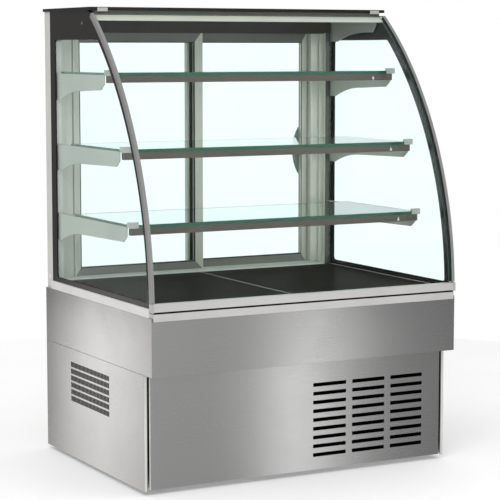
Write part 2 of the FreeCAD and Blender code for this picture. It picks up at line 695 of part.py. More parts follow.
def roof_catches():
    """Catch on the roof's front edge, over the top edge of the closed glass."""
    across = ("catch_middle - catch_wide/2", "catch_middle + catch_wide/2")
    hook = block(across, ("catch_front", "roof_front"), ("catch_low", "catch_high"))
    tongue = block(across, ("roof_front", "canopy_front"), ("catch_low", ROOF_LOW))
    pair("roof_catches", fuse([hook, tongue]))


def canopy_arms():
    """Curved bracket plate from each post to the canopy."""
    section = [("post_front", ROOF_LOW), ("canopy_back", ROOF_LOW), ("canopy_back", "lamp_low"),
               ("arm_tip", "lamp_low"), ("arm_tip", "arm_low"), ("arm_chin", "arm_chin_low"),
               ("arm_bend", "arm_chin_low", "-1*arm_arc"), ("arm_root", "arm_root_low"),
               ("post_front", "arm_root_low")]
    pair("canopy_arms", extrusion("canopy_arm", "YZ_Plane", section,
                                  "bracket_side - bracket_gauge", "bracket_side"))


# ---------- shelves ----------

def shelf_bracket(level):
    """Cantilever bracket plate with a ledge turned in under the glass."""
    under = "(%s_high - glass_gauge)" % level
    tip = "(%s_front + bracket_back)" % level
    root = "(post_front - root_run)"
    section = [("post_front", under), (tip, under), (tip, "%s - chamfer_drop" % under),
               ("%s + chamfer_run" % tip, "%s - tip_drop" % under),
               ("(post_front - arm_run)", "%s - arm_drop" % under, "-1*root_arc"),
               (root, "%s - root_drop" % under), ("post_front", "%s - root_drop" % under)]
    inner = "bracket_side - bracket_gauge"
    plate = extrusion("bracket_plate", "YZ_Plane", section, inner, "bracket_side")
    ledge = block(("bracket_side - bracket_ledge", inner),
                  (tip, "post_front - ledge_gauge"), ("%s - ledge_gauge" % under, under))
    return fuse([plate, ledge])


def shelf_rail(level):
    """Angle rail under the shelf's front edge, closed at its ends, with one small notch."""
    under = "(%s_high - glass_gauge)" % level
    front = "%s_front" % level
    half = "(bracket_side - bracket_ledge)"
    wall = block(("-shelf_half", "shelf_half"), (front, "%s + rail_wall" % front),
                 ("%s - rail_drop" % under, under))
    end = block(("shelf_half - rail_wall", "shelf_half"), (front, "%s + rail_return" % front),
                ("%s - rail_drop" % under, under))
    ledge = block(("-%s" % half, half), (front, "%s + rail_deep" % front),
                  ("%s - rail_wall" % under, under))
    tip = ("notch_place", "%s - notch_high" % under)
    notch = extrusion("notch", "XZ_Plane",
                      [("notch_place - notch_half", "%s - notch_low" % under),
                       ("notch_place + notch_half", "%s - notch_low" % under), tip],
                      "%s - rail_wall" % front, "%s + rail_wall*2" % front)
    return cut(fuse([wall, ledge, end, mirror(end)]), notch)


def shelf_clip(level):
    """Moulded corner that grips the glass and stands a little above it."""
    under = "(%s_high - glass_gauge)" % level
    front = "%s_front" % level
    side = "(shelf_half - clip_wide + clip_wall*2)"
    outer = block((side, "shelf_half + clip_wall*2"),
                  ("%s - clip_wall" % front, "%s + clip_deep" % front),
                  ("%s - clip_skirt" % under, "%s + clip_tall" % under))
    rail = block((side, "shelf_half + clip_wall*2"), (front, "%s + clip_deep" % front),
                 ("%s - clip_skirt" % under, under))
    glass = block((side, "shelf_half"), (front, "%s + clip_deep" % front),
                  (under, "%s_high" % level))
    above = block((side, "shelf_half - clip_lip"),
                  ("%s + clip_lip" % front, "%s + clip_deep" % front),
                  ("%s_high" % level, "%s + clip_tall" % under))
    return cut(outer, fuse([glass, above, rail]))


def shelves():
    """Three glass shelves with their brackets, front rails and corner clips."""
    rails = []
    clips = []
    for level in ("shelf_top", "shelf_middle", "shelf_bottom"):
        node(level + "_glass", block(("-shelf_half", "shelf_half"),
                                     ("%s_front" % level, "%s_back" % level),
                                     ("%s_high - glass_gauge" % level, "%s_high" % level)))
        pair(level + "_brackets", shelf_bracket(level))
        rails.append(shelf_rail(level))
        clip = shelf_clip(level)
        clips += [clip, mirror(clip)]
    node("shelf_rails", group(rails))
    node("shelf_clips", group(clips))


# ---------- sliding doors ----------

def sliding_door(name, sides, stiles, front, recesses):
    """Framed rear door on its own track, less any recesses in its frame."""
    left, right = sides
    back = "%s + door_gauge" % front
    glass_left = "%s + %s" % (left, stiles[0])
    glass_right = "%s - %s" % (right, stiles[1])
    frame = block((left, right), (front, back), ("door_low", "door_high"))
    opening = block((glass_left, glass_right), (front, back),
                    ("door_glass_low", "door_glass_high"))
    pane_front = "%s + (door_gauge - pane_gauge)/2" % front
    pane_size = (("%s - pane_bite" % glass_left, "%s + pane_bite" % glass_right),
                 (pane_front, "%s + pane_gauge" % pane_front),
                 ("door_glass_low - pane_bite", "door_glass_high + pane_bite"))
    node(name + "_frame", cut(frame, fuse([opening, block(*pane_size)] + recesses)))
    node(name + "_glass", block(*pane_size))


def finger_pull():
    """Recess in the outer stile of the left door, flush so that it passes the right door."""
    left = "door_stile/2 - door_outer - pull_wide/2"
    back = "door_left_front + door_gauge"
    return block((left, "%s + pull_wide" % left), ("%s - pull_deep" % back, back),
                 ("handle_middle - pull_tall/2", "handle_middle + pull_tall/2"))


def handle_outline(inset):
    """D-shaped outline on the right door's outer stile, whose bow reaches over the glass."""
    stile = "(door_outer - door_stile)"
    half = "(handle_half - %s)" % inset
    bulge = "(handle_bulge - %s)" % inset
    low = "handle_middle - %s" % half
    high = "handle_middle + %s" % half
    right = "%s + handle_lap - %s" % (stile, inset)
    bow = "-1*(%s*%s + %s*%s)/(2*%s)" % (half, half, bulge, bulge, bulge)
    return [(right, low), (stile, low, bow), (stile, high), (right, high)]


def door_handle():
    """Pull plate on the right door, dished for the fingers, flush with the case's back."""
    back = "door_right_front + door_gauge"
    face = "%s + handle_gauge" % back
    plate = extrusion("handle_plate", "XZ_Plane", handle_outline("0"), back, face)
    dish = extrusion("handle_dish", "XZ_Plane", handle_outline("handle_rim"),
                     "%s - dish_deep" % face, face)
    node("door_right_handle", cut(plate, dish))


# ---------- refrigeration ----------

def finned_coil(left, right, front, back, low, high, fins):
    """Finned block between two end plates on two rows of tube."""
    plate = "coil_plate"
    ends = [block((left, "%s + %s" % (left, plate)), (front, back), (low, high)),
            block(("%s - %s" % (right, plate), right), (front, back), (low, high))]
    tubes = []
    for share in ("1/4", "3/4"):
        for drop in ("1/6", "3/6", "5/6"):
            place = (left, "%s + (%s - %s)*%s" % (front, back, front, share),
                     "%s + (%s - %s)*%s" % (low, high, low, drop))
            tubes.append(rod("x", place, "coil_tube", "%s - %s" % (right, left)))
    pieces = ends + tubes
    count = int(value(fins))
    for index in range(1, count):
        near = "%s + (%s - %s)*%d/%d" % (left, right, left, index, count)
        pieces.append(block((near, "%s + fin_gauge" % near), (front, back), (low, high)))
    return fuse(pieces)


def fan_rotor(name, prefix, centre):
    """Five pitched blades on a hub that turns on the motor's shaft."""
    body = new_body(name)
    hub = new_sketch(body, "XY_Plane", "hub")
    draw_circle(hub, "0", "0", "%s_hub" % prefix)
    disc = body.newObject("PartDesign::Pad", "hub_pad")
    disc.Profile = hub
    disc.setExpression("Length", ex("%s_hub" % prefix))
    disc.Midplane = True
    doc.recompute()
    blade_sketch = new_sketch(body, "YZ_Plane", "blade")
    run = "%s_hub*3/4" % prefix
    rise = "%s_hub/3" % prefix
    draw_outline(blade_sketch, [("-1*%s" % run, "-1*%s" % rise),
                                ("blade_gauge - %s" % run, "-1*%s" % rise),
                                (run, rise), ("%s - blade_gauge" % run, rise)])
    blade = body.newObject("PartDesign::Pad", "blade_pad")
    blade.Profile = blade_sketch
    blade.setExpression("Length", ex("%s_tip" % prefix))
    doc.recompute()
    blades = body.newObject("PartDesign::PolarPattern", "blades")
    blades.Originals = [blade]
    blades.Axis = (origin_feature(body, "Z_Axis"), [""])
    blades.Angle = 360
    blades.Occurrences = 5
    body.Tip = blades
    bore = new_sketch(body, "XY_Plane", "bore")
    draw_circle(bore, "0", "0", "fan_shaft + shaft_play")
    pocket(body, bore)
    body.Placement = Placement(Vector(), Rotation(AXES["x"], -90))
    for axis, place in zip("xyz", centre):
        body.setExpression("Placement.Base." + axis, ex(place))
    node(name, body)


def fan_housing(name, prefix, side, up, front, deep, width, height):
    """Square duct round a fan, with the motor held behind it on a four-armed spider."""
    back = "%s + %s" % (front, deep)
    duct = block(("%s - %s" % (side, width), "%s + %s" % (side, width)), (front, back),
                 ("%s - %s" % (up, height), "%s + %s" % (up, height)))
    bore = rod("y", (side, front, up), "%s_bore" % prefix, deep)
    arm_back = "%s + spider_wide" % back
    half = "spider_wide/2"
    across = block(("%s - %s" % (side, width), "%s + %s" % (side, width)), (back, arm_back),
                   ("%s - %s" % (up, half), "%s + %s" % (up, half)))
    upright = block(("%s - %s" % (side, half), "%s + %s" % (side, half)), (back, arm_back),
                    ("%s - %s" % (up, height), "%s + %s" % (up, height)))
    motor = rod("y", (side, back, up), "%s_hub" % prefix, "motor_long")
    shaft = rod("y", (side, "%s + %s/2 - %s_hub/2 + shaft_back" % (front, deep, prefix), up),
                "fan_shaft", "%s/2 + %s_hub/2" % (deep, prefix))
    node(name, fuse([cut(duct, bore), across, upright, motor, shaft]))


def cold_side():
    """Evaporator and its fan, under the deck."""
    node("evaporator_coil", finned_coil("-evap_half", "evap_half", "evap_front", "evap_back",
                                        "evap_low", "evap_high", "evap_fins"))
    fan_housing("evaporator_fan_housing", "evap", "0", "evap_fan_up", "evap_fan_front",
                "evap_fan_deep", "evap_fan_half", "(evap_fan_high - evap_fan_up)")
    fan_rotor("evaporator_fan", "evap", ("0", "evap_fan_front + evap_fan_deep/2", "evap_fan_up"))


def hot_side():
    """Condenser and its fan, behind the front grille."""
    node("condenser_coil", finned_coil("cond_left", "cond_right", "cond_front", "cond_back",
                                       "cond_low", "cond_high", "cond_fins"))
    fan_housing("condenser_fan_shroud", "cond", "cond_fan_side", "cond_fan_up", "cond_back",
                "cond_fan_deep", "cond_fan_half", "cond_fan_half")
    fan_rotor("condenser_fan", "cond", ("cond_fan_side", "cond_back + cond_fan_deep/2",
                                        "cond_fan_up"))


def compressor():
    """Hermetic compressor can on a plate with four rubber mounts."""
    inner = "comp_radius - comp_wall"
    section = [("comp_radius", "comp_low"), ("comp_radius", "comp_shoulder", "comp_crown"),
               ("comp_cap", "comp_high"), ("0", "comp_high"), ("0", "comp_high - comp_wall"),
               ("comp_cap", "comp_high - comp_wall", "comp_wall - comp_crown"),
               (inner, "comp_shoulder"), (inner, "comp_low")]
    can = revolved("compressor_can", "XZ_Plane", section, "Z_Axis")
    can.setExpression("Placement.Base.x", ex("comp_side"))
    can.setExpression("Placement.Base.y", ex("comp_back"))
    plate_low = "comp_low - comp_plate"
    plate = block(("comp_side - comp_plate_half", "comp_side + comp_plate_half"),
                  ("comp_back - comp_plate_half", "comp_back + comp_plate_half"),
                  (plate_low, "comp_low"))
    mounts = [rod("z", ("comp_side + %s*mount_side" % across, "comp_back + %s*mount_side" % along,
                        FLOOR_TOP), "mount_radius", "%s - %s" % (plate_low, FLOOR_TOP))
              for across in ("-1", "1") for along in ("-1", "1")]
    node("compressor", group([can, plate] + mounts))


def refrigerant_pipes():
    """Discharge pipe round to the condenser and suction pipe up to the well."""
    body = new_body("discharge_pipe")
    path = new_sketch(body, "XY_Plane", "path")
    draw_outline(path, [("0", "0"), ("pipe_across - pipe_bend", "0", "-1*pipe_bend"),
                        ("pipe_across", "-1*pipe_bend"),
                        ("pipe_across", "pipe_bend - pipe_forward", "pipe_bend"),
                        ("pipe_across + pipe_bend", "-1*pipe_forward"),
                        ("pipe_reach", "-1*pipe_forward")], closed=False)
    ring = new_sketch(body, "YZ_Plane", "ring")
    draw_circle(ring, "0", "0", "pipe_radius")
    doc.recompute()
    sweep = body.newObject("PartDesign::AdditivePipe", "sweep")
    sweep.Profile = ring
    sweep.Spine = path
    for axis, place in zip("xyz", ("comp_side + comp_radius", "comp_back", "pipe_up")):
        body.setExpression("Placement.Base." + axis, ex(place))
    suction = rod("z", ("comp_side", "comp_back", "comp_high"), "pipe_radius",
                  "%s - comp_high" % WELL_UNDER)
    node("refrigerant_pipes", group([body, suction]))


def condensate_tray():
    """Drip tray that pulls out at the back; its face closes the opening."""
    face_front = "%s + tray_gap" % BACK_SKIN
    tub = block(("tray_left", "tray_right"), ("tray_front", face_front), ("tray_low", "tray_high"))
    face = block(("tray_left - tray_rim", "tray_right + tray_rim"), (face_front, BACK),
                 ("tray_low", "tray_face + tray_rim"))
    inner = block(("tray_left + tray_wall", "tray_right - tray_wall"),
                  ("tray_front + tray_wall", "%s - tray_wall" % face_front),
                  ("tray_low + tray_wall", "tray_high"))
    middle = "(tray_left + tray_right)/2"
    pull = block(("%s - tray_pull" % middle, "%s + tray_pull" % middle), (face_front, BACK),
                 ("tray_pull_low", "tray_face + tray_rim"))
    node("condensate_tray", cut(fuse([tub, face]), fuse([inner, pull])))


def temperature_controller():
    """Panel controller with a recessed display window."""
    right = "ctrl_left + ctrl_wide"
    high = "ctrl_low + ctrl_tall"
    case = block(("ctrl_left", right), ("ctrl_front", BACK_SKIN), ("ctrl_low", high))
    bezel_back = "%s + bezel_gauge" % BACK_SKIN
    bezel = block(("ctrl_left - bezel_rim", "%s + bezel_rim" % right), (BACK_SKIN, bezel_back),
                  ("ctrl_low - bezel_rim", "%s + bezel_rim" % high))
    window = block(("ctrl_left + window_in", "ctrl_left + window_in + window_wide"),
                   ("%s - window_deep" % bezel_back, bezel_back),
                   ("ctrl_low + window_rim", "%s - window_rim" % high))
    node("temperature_controller", cut(fuse([case, bezel]), window))


def power_inlet():
    """Mains inlet with three pins and a well for the switch rocker."""
    middle = "(inlet_left + inlet_wide/2)"
    face = "%s + bezel_gauge" % BACK_SKIN
    case = block(("inlet_left", "inlet_left + inlet_wide"), ("inlet_front", BACK_SKIN),
                 ("inlet_low", "inlet_low + inlet_tall"))
    flange = block(("inlet_left - bezel_rim", "inlet_left + inlet_wide + bezel_rim"),
                   (BACK_SKIN, face), ("inlet_low - bezel_rim",
                                       "inlet_low + inlet_tall + bezel_rim"))
    floor = "%s - socket_deep" % face
    socket = block(("%s - socket_wide/2" % middle, "%s + socket_wide/2" % middle), (floor, face),
                   ("socket_low", "socket_low + socket_tall"))
    room = "(rocker_wide/2 + rocker_play)"
    tall = "(rocker_half + rocker_room)"
    well = block(("%s - %s" % (middle, room), "%s + %s" % (middle, room)),
                 ("rocker_axis - rocker_deep", face),
                 ("rocker_up - %s" % tall, "rocker_up + %s" % tall))
    bite = "(rocker_wide/2 + axle_bite + axle_play*2)"
    bore = rod("x", ("%s - %s" % (middle, bite), "rocker_axis", "rocker_up"),
               "axle_radius + axle_play", "%s*2" % bite)
    housing = cut(fuse([case, flange]), fuse([socket, well, bore]))
    pins = [block(("%s + %s*pin_spread - pin_half" % (middle, place),
                   "%s + %s*pin_spread + pin_half" % (middle, place)),
                  (floor, "%s + pin_long" % floor), ("pin_up", "pin_up + pin_tall"))
            for place in ("-1", "0", "1")]
    node("power_inlet", fuse([housing] + pins))


def power_switch_rocker():
    """Rocker that tips on its axle; it rests tipped to the off side."""
    section = [("-1*rocker_heel", "-1*rocker_toe"), ("-1*rocker_cheek", "-1*rocker_half"),
               ("rocker_crown", "-1*rocker_half"), ("rocker_dip", "0"),
               ("rocker_crown", "rocker_half"), ("-1*rocker_cheek", "rocker_half"),
               ("-1*rocker_heel", "rocker_toe")]
    key = extrusion("rocker_key", "YZ_Plane", section, "-rocker_wide/2", "rocker_wide/2")
    axle = rod("x", ("-(rocker_wide/2 + axle_bite)", "0", "0"), "axle_radius",
               "rocker_wide + axle_bite*2")
    rocker = fuse([key, axle])
    rocker.Placement = Placement(Vector(), Rotation(AXES["x"] * -1, 1))
    rocker.setExpression("Placement.Rotation.Angle", ex("rocker_tilt"))
    for axis, place in zip("xyz", ("inlet_left + inlet_wide/2", "rocker_axis", "rocker_up")):
        rocker.setExpression("Placement.Base." + axis, ex(place))
    node("power_switch_rocker", rocker)


def panel_screws():
    """Pan-head screws of the rear panels, and one through each side glass."""
    screws = []
    rows = ("screw_low", "screw_base_high", "screw_body_low", "screw_body_high")
    for up in rows:
        for side in ("-screw_side", "0", "screw_side"):
            head = rod("y", (side, BACK_SKIN, up), "screw_head", "screw_crown")
            shank = rod("y", (side, "%s - screw_long" % BACK_SKIN, up), "screw_shank",
                        "screw_long")
            screws.append(fuse([head, shank]))
    glass_head = rod("x", ("side_glass_plane", "glass_screw_back", "glass_screw_up"),
                     "screw_head", "screw_crown")
    glass_shank = rod("x", ("side_glass_plane - glass_screw_long", "glass_screw_back",
                            "glass_screw_up"), "screw_shank", "glass_screw_long")
    glass_screw = fuse([glass_head, glass_shank])
    node("panel_screws", group(screws + [glass_screw, mirror(glass_screw)]))


# ---------- assembly ----------

def build():
    base_floor()
    base_uprights()
    levelling_feet()
    lower_side_panel("lower_side_panel_left", "-1", True)
    lower_side_panel("lower_side_panel_right", "1", False)
    front_service_panel()
    rear_service_panel()
    upper_front_panel()
    upper_rear_panel()
    insulated_well()
    front_rail()
    for name, maker in (("upper_side_panel", upper_side_panel), ("deck_plate", deck_plate),
                        ("side_glass", side_glass), ("corner_post", corner_post)):
        piece = maker()
        node(name + "_left", mirror(piece))
        node(name + "_right", piece)
    pair("side_rails", side_rail())
    front_glass()
    glass_edge_trims()
    glass_profile()
    profile_end_caps()
    door_jambs()
    door_tracks()
    roof_panel()
    canopy_profile()
    lamp()
    roof_catches()
    canopy_arms()
    shelves()
    sliding_door("door_left", ("-door_outer", "door_overlap"), ("door_stile", "meeting_stile"),
                 "door_left_front", [finger_pull()])
    sliding_door("door_right", ("-door_overlap", "door_outer"), ("meeting_stile", "door_stile"),
                 "door_right_front", [])
    door_handle()
    cold_side()
    hot_side()
    compressor()
    refrigerant_pipes()
    condensate_tray()
    temperature_controller()
    power_inlet()
    power_switch_rocker()
    panel_screws()


def check():
    """Stop if any object of the document failed or any sub-part is not a sound solid."""
    for item in doc.Objects:
        if "Invalid" in item.State or "Error" in item.State:
            raise RuntimeError("%s did not compute" % item.Label)
    for name, piece in PARTS.items():
        if piece.Shape.isNull() or not piece.Shape.isValid() or not piece.Shape.Solids:
            raise RuntimeError("%s is not a sound solid" % name)


build()
doc.recompute()
check()
os.makedirs("parts", exist_ok=True)
for part_name, part in PARTS.items():
    part.Shape.exportStep(os.path.join("parts", part_name + ".step"))
    print("%-28s %2d solids" % (part_name, len(part.Shape.Solids)))
print(len(PARTS), "sub-parts")
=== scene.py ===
import math

import bmesh
import bpy
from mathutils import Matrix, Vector

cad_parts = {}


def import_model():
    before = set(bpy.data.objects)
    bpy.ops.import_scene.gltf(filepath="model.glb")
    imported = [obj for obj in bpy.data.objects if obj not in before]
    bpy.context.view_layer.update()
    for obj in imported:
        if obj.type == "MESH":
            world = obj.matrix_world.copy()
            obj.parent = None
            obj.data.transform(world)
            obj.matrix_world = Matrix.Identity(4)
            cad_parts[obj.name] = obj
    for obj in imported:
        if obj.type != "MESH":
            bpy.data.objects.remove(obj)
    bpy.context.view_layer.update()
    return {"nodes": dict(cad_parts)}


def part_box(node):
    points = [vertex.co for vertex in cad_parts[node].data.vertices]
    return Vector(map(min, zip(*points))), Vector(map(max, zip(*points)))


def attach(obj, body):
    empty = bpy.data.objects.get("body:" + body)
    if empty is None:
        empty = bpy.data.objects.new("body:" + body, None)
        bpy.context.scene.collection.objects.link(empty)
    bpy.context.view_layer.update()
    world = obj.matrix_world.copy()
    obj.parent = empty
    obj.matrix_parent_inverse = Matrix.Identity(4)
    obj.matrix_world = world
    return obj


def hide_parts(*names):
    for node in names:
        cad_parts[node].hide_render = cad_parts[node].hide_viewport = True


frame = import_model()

# Refrigerated pastry case: the looks.  Metres, in the frame of the CAD model: origin on the
# floor under the middle of the case, +X to the customer's right, +Y to the server, +Z up.

MM = 0.001

# Curve of the front glass, about an axis parallel to X, and how far above the horizontal the foot
# of the glass, the foot of its edge trims and the top of both stand on it
ARC_Y = 678.9 * MM
ARC_Z = 515.4 * MM
GLASS_RADIUS = 1058.4 * MM
GLASS_GAUGE = 6 * MM
GLASS_FOOT = math.radians(0.85)
TRIM_FOOT = math.radians(1.8)
ARC_TOP = math.radians(51.3)
ARC_STEPS = 96

# Front edge of the side glasses, about the same axis
SIDE_RADIUS = 1041.5 * MM

# Corners of the mesh filters behind the ventilation slots, in millimetres
SIDE_SCREEN = ((-498.4, -96, 178), (-497.6, 196, 304))
FRONT_SCREEN = ((36, -324.8, 44), (430, -324.0, 278))

# Camera, where the photograph was taken from: metres, degrees, and millimetres of lens and sensor
CAMERA_PLACE = (-2.5747, -4.7946, 1.2411)
CAMERA_YAW = 28.33
CAMERA_PITCH = -6.38
CAMERA_LENS = 129.87
SENSOR = 36.0

# Studio: how far to the right the dark wall stands in reflections, the azimuth and the full and
# faded half widths of a second one, in degrees, and the glow along the two low cards
DARK_STRIP = (0.42, 0.50, 0.60, 0.75)
DARK_WALL = (203.5, 8, 20)
FRONT_BAND = ((0.01, 0.21), (0.25, 0.21), (0.37, 0.17), (0.475, 0.68), (0.535, 0.75),
              (0.64, 0.3), (0.78, 0.15), (0.99, 0.12))
SIDE_BAND = ((0.01, 0.2), (0.3, 0.5), (0.48, 0.88), (0.6, 0.5), (0.75, 0.02), (0.99, 0.0))

# Strength of the studio's light: in reflections, in those of the dark walls, on matt surfaces,
# and behind the glass
REFLECTED = 0.58
REFLECTED_DARK = 0.16
DIFFUSE = 0.85
THROUGH_GLASS = 1.08


# ---------- materials ----------

class Nodes:
    """A node tree and short ways to add to it."""

    def __init__(self, tree):
        self.tree = tree

    def feed(self, target, value):
        """Give a socket a value, or link it to another node's output."""
        if isinstance(value, bpy.types.NodeSocket):
            self.tree.links.new(value, target)
        else:
            target.default_value = value

    def node(self, kind, inputs=None, **settings):
        made = self.tree.nodes.new("ShaderNode" + kind)
        for setting, value in settings.items():
            setattr(made, setting, value)
        for key, value in (inputs or {}).items():
            self.feed(made.inputs[key], value)
        return made

    def math(self, operation, first, second=0.0):
        return self.node("Math", {0: first, 1: second}, operation=operation).outputs[0]

    def between(self, source, low, high, start=0.3, end=0.7, curve="LINEAR"):
        """A number that goes from low to high as the source goes from start to end."""
        ranged = self.node("MapRange", {"Value": source, "From Min": start, "From Max": end,
                                        "To Min": low, "To Max": high},
                           interpolation_type=curve)
        return ranged.outputs["Result"]

    def blend(self, source, first, second):
        """A colour between two, by a number from 0 to 1."""
        mix = self.node("Mix", {0: source, 6: first, 7: second}, data_type="RGBA")
        return mix.outputs[2]

    def pick(self, flag, otherwise, chosen):
        """A number that depends on a flag of 0 or 1."""
        return self.node("Mix", {0: flag, 2: otherwise, 3: chosen}).outputs[0]

    def place(self):
        """The piece's own place, as three numbers."""
        spot = self.node("TexCoord").outputs["Object"]
        return self.node("SeparateXYZ", {0: spot}).outputs


class Finish(Nodes):
    """A Principled material and the nodes that give it its pattern."""

    def __init__(self, name, **sockets):
        self.material = bpy.data.materials.new(name)
        self.material.use_nodes = True
        super().__init__(self.material.node_tree)
        self.shader = self.tree.nodes["Principled BSDF"]
        for socket, value in sockets.items():
            self.set(socket.replace("_", " "), value)

    def set(self, socket, value):
        self.feed(self.shader.inputs[socket], value)

    def noise(self, scale, detail=2.0, stretch=(1, 1, 1)):
        """Noise over the piece's own place, stretched along its axes."""
        spot = self.node("TexCoord").outputs["Object"]
        mapped = self.node("Mapping", {"Vector": spot, "Scale": stretch})
        texture = self.node("TexNoise", {"Vector": mapped.outputs[0], "Scale": scale,
                                         "Detail": detail})
        return texture.outputs["Fac"]

    def clouded(self, colour, dark, light):
        """A colour with faint handling clouds, between two factors of it."""
        clouds = self.between(self.noise(9, 2), 0, 1)
        return self.blend(clouds, shade(colour, dark), shade(colour, light))

    def bump(self, height, distance, strength=1.0, before=None):
        inputs = {"Height": height, "Distance": distance, "Strength": strength}
        if before:
            inputs["Normal"] = before
        normal = self.node("Bump", inputs).outputs["Normal"]
        self.set("Normal", normal)
        return normal


def shade(colour, factor):
    return tuple(channel * factor for channel in colour[:3]) + (1.0,)


def grain_stretch(grain):
    return tuple(0.012 if axis == grain else 1.0 for axis in "xyz")


def brushed(name, colour, grain, tangent, rough=(0.21, 0.27), anisotropy=0.85, wave=0.0,
            rim=1.0, shade_mask=None):
    """Sheet metal brushed along one axis, with handling clouds and a slight waviness.

    rim scales the tint of what it reflects at a low angle.  The mask gives the places where
    painted shade darkens the colour, as a number from 0 to 1.
    """
    made = Finish(name, Metallic=1.0, Anisotropic=anisotropy)
    made.set("Specular Tint", shade((1.0, 0.96, 0.92), rim))
    lines = made.noise(1400, 3, grain_stretch(grain))
    clouds = made.noise(4, 3)
    tone = made.blend(made.between(lines, 0, 1), shade(colour, 0.975), shade(colour, 1.02))
    clouded = made.blend(made.between(clouds, 0, 1), tone, shade(colour, 0.97))
    if shade_mask:
        # Painted shade: the masked places take a far darker copy of the colour.
        clouded = made.blend(shade_mask(made), clouded, shade(colour, 0.24))
    made.set("Base Color", clouded)
    soft = made.between(clouds, -0.012, 0.02)
    made.set("Roughness", made.math("ADD", made.between(lines, *rough), soft))
    swell = made.bump(made.noise(2.6, 1), wave) if wave else None
    made.bump(lines, 0.0000008, 1.0, swell)
    direction = made.node("CombineXYZ", {0: tangent[0], 1: tangent[1], 2: tangent[2]})
    made.set("Tangent", direction.outputs[0])
    return made.material


def painted_web_shade(made):
    """One over the rows of the side grille, whose narrow webs are painted dark as painted shade,
    and zero elsewhere.
    """
    spot = made.place()
    front, back, low, high = (number * MM for number in (-90, 193, 182, 302))
    step, tall = 20.8 * MM, 15.6 * MM
    above = made.math("SUBTRACT", spot["Z"], low)
    inside = made.math("LESS_THAN", made.math("FLOORED_MODULO", above, step), tall)
    for axis, least, most in (("Y", front, back), ("Z", low, high)):
        inside = made.math("MULTIPLY", inside, made.math("GREATER_THAN", spot[axis], least))
        inside = made.math("MULTIPLY", inside, made.math("LESS_THAN", spot[axis], most))
    return inside


def satin(name, colour, grain, metallic=0.5, rough=0.36):
    """Anodised extrusion: fine die lines under a satin surface.

    colour is one colour, or a function that paints the material's own.
    """
    made = Finish(name, Metallic=metallic)
    lines = made.noise(1200, 3, grain_stretch(grain))
    base = colour(made) if callable(colour) else made.clouded(colour, 0.95, 1.03)
    streak = made.between(lines, 0.93, 1.05)
    scaled = made.node("VectorMath", {0: base, 3: streak}, operation="SCALE").outputs[0]
    made.set("Base Color", scaled)
    made.set("Roughness", made.between(lines, rough - 0.04, rough + 0.06))
    made.bump(lines, 0.000008)
    return made.material


def mitred_tone(node, left_stile, right_stile):
    """Colour of a mitred door frame: its stiles, top and bottom rail, and the mitre lines; the
    rails are painted darker than the stiles, as painted shade.
    """
    least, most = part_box(node)

    def tone(made):
        spot = made.place()
        from_left = made.math("DIVIDE", made.math("SUBTRACT", spot["X"], least.x), left_stile)
        from_right = made.math("DIVIDE", made.math("SUBTRACT", most.x, spot["X"]), right_stile)
        across = made.math("MINIMUM", from_left, from_right)
        under = made.math("DIVIDE", made.math("SUBTRACT", most.z, spot["Z"]), TOP_RAIL)
        over = made.math("DIVIDE", made.math("SUBTRACT", spot["Z"], least.z), LOW_RAIL)
        colour = made.clouded(DOOR, 0.95, 1.03)
        # Painted shade: the top and bottom rails take darker colours than the stiles.
        for share, rail in ((under, DOOR_TOP_PAINTED_SHADE), (over, DOOR_LOW_PAINTED_SHADE)):
            colour = made.blend(made.math("GREATER_THAN", across, share), colour, shade(rail, 1))
            gap = made.math("ABSOLUTE", made.math("SUBTRACT", across, share))
            colour = made.blend(made.between(gap, 1, 0, 0.012, 0.03), colour, shade(DOOR, 0.12))
        return colour
    return tone


def gap_shade_tone(colour, low, high):
    """Colour of an extrusion whose edges inside a gap between two heights are painted near black,
    as painted shade.
    """

    def tone(made):
        height = made.place()["Z"]
        inside = made.math("MULTIPLY", made.math("GREATER_THAN", height, low),
                           made.math("LESS_THAN", height, high))
        plain = made.clouded(colour, 0.96, 1.03)
        # Painted shade: near black inside the gap.
        return made.blend(inside, plain, (0.012, 0.010, 0.008, 1))
    return tone


def capped_tone(colour, seam, cap):
    """Colour of a shelf rail with a moulded cap beyond a seam at each end."""

    def tone(made):
        out = made.math("ABSOLUTE", made.place()["X"])
        plain = made.clouded(colour, 0.94, 1.05)
        ended = made.blend(made.math("GREATER_THAN", out, seam), plain, shade(cap, 1))
        gap = made.math("ABSOLUTE", made.math("SUBTRACT", out, seam))
        return made.blend(made.between(gap, 1, 0, 0.6 * MM, 1.2 * MM), ended, shade(colour, 0.3))
    return tone


def post_shade_tone(colour, dark, face):
    """Colour of a corner post whose slotted front face is painted darker, as painted shade."""

    def tone(made):
        front = made.math("LESS_THAN", made.place()["Y"], face)
        plain = made.clouded(colour, 0.96, 1.03)
        # Painted shade: the front face takes the dark colour.
        return made.blend(front, plain, shade(dark, 1))
    return tone


def painted(name, colour, rough, orange_peel=0.00003, metallic=0.0):
    """Powder coat or enamel with a slight orange peel."""
    made = Finish(name, Metallic=metallic)
    peel = made.noise(420, 2)
    clouds = made.noise(7, 3)
    made.set("Base Color", made.blend(made.between(clouds, 0, 1), shade(colour, 0.92),
                                      shade(colour, 1.06)))
    made.set("Roughness", made.between(peel, rough - 0.04, rough + 0.05))
    made.bump(peel, orange_peel)
    return made.material


def moulded(name, colour, rough):
    """Moulded plastic or rubber with a fine sparked texture."""
    made = Finish(name)
    spark = made.noise(1600, 3)
    clouds = made.noise(12, 2)
    made.set("Base Color", made.blend(made.between(clouds, 0, 1), shade(colour, 0.9),
                                      shade(colour, 1.08)))
    made.set("Roughness", made.between(spark, rough - 0.06, rough + 0.08))
    made.bump(spark, 0.00004)
    return made.material


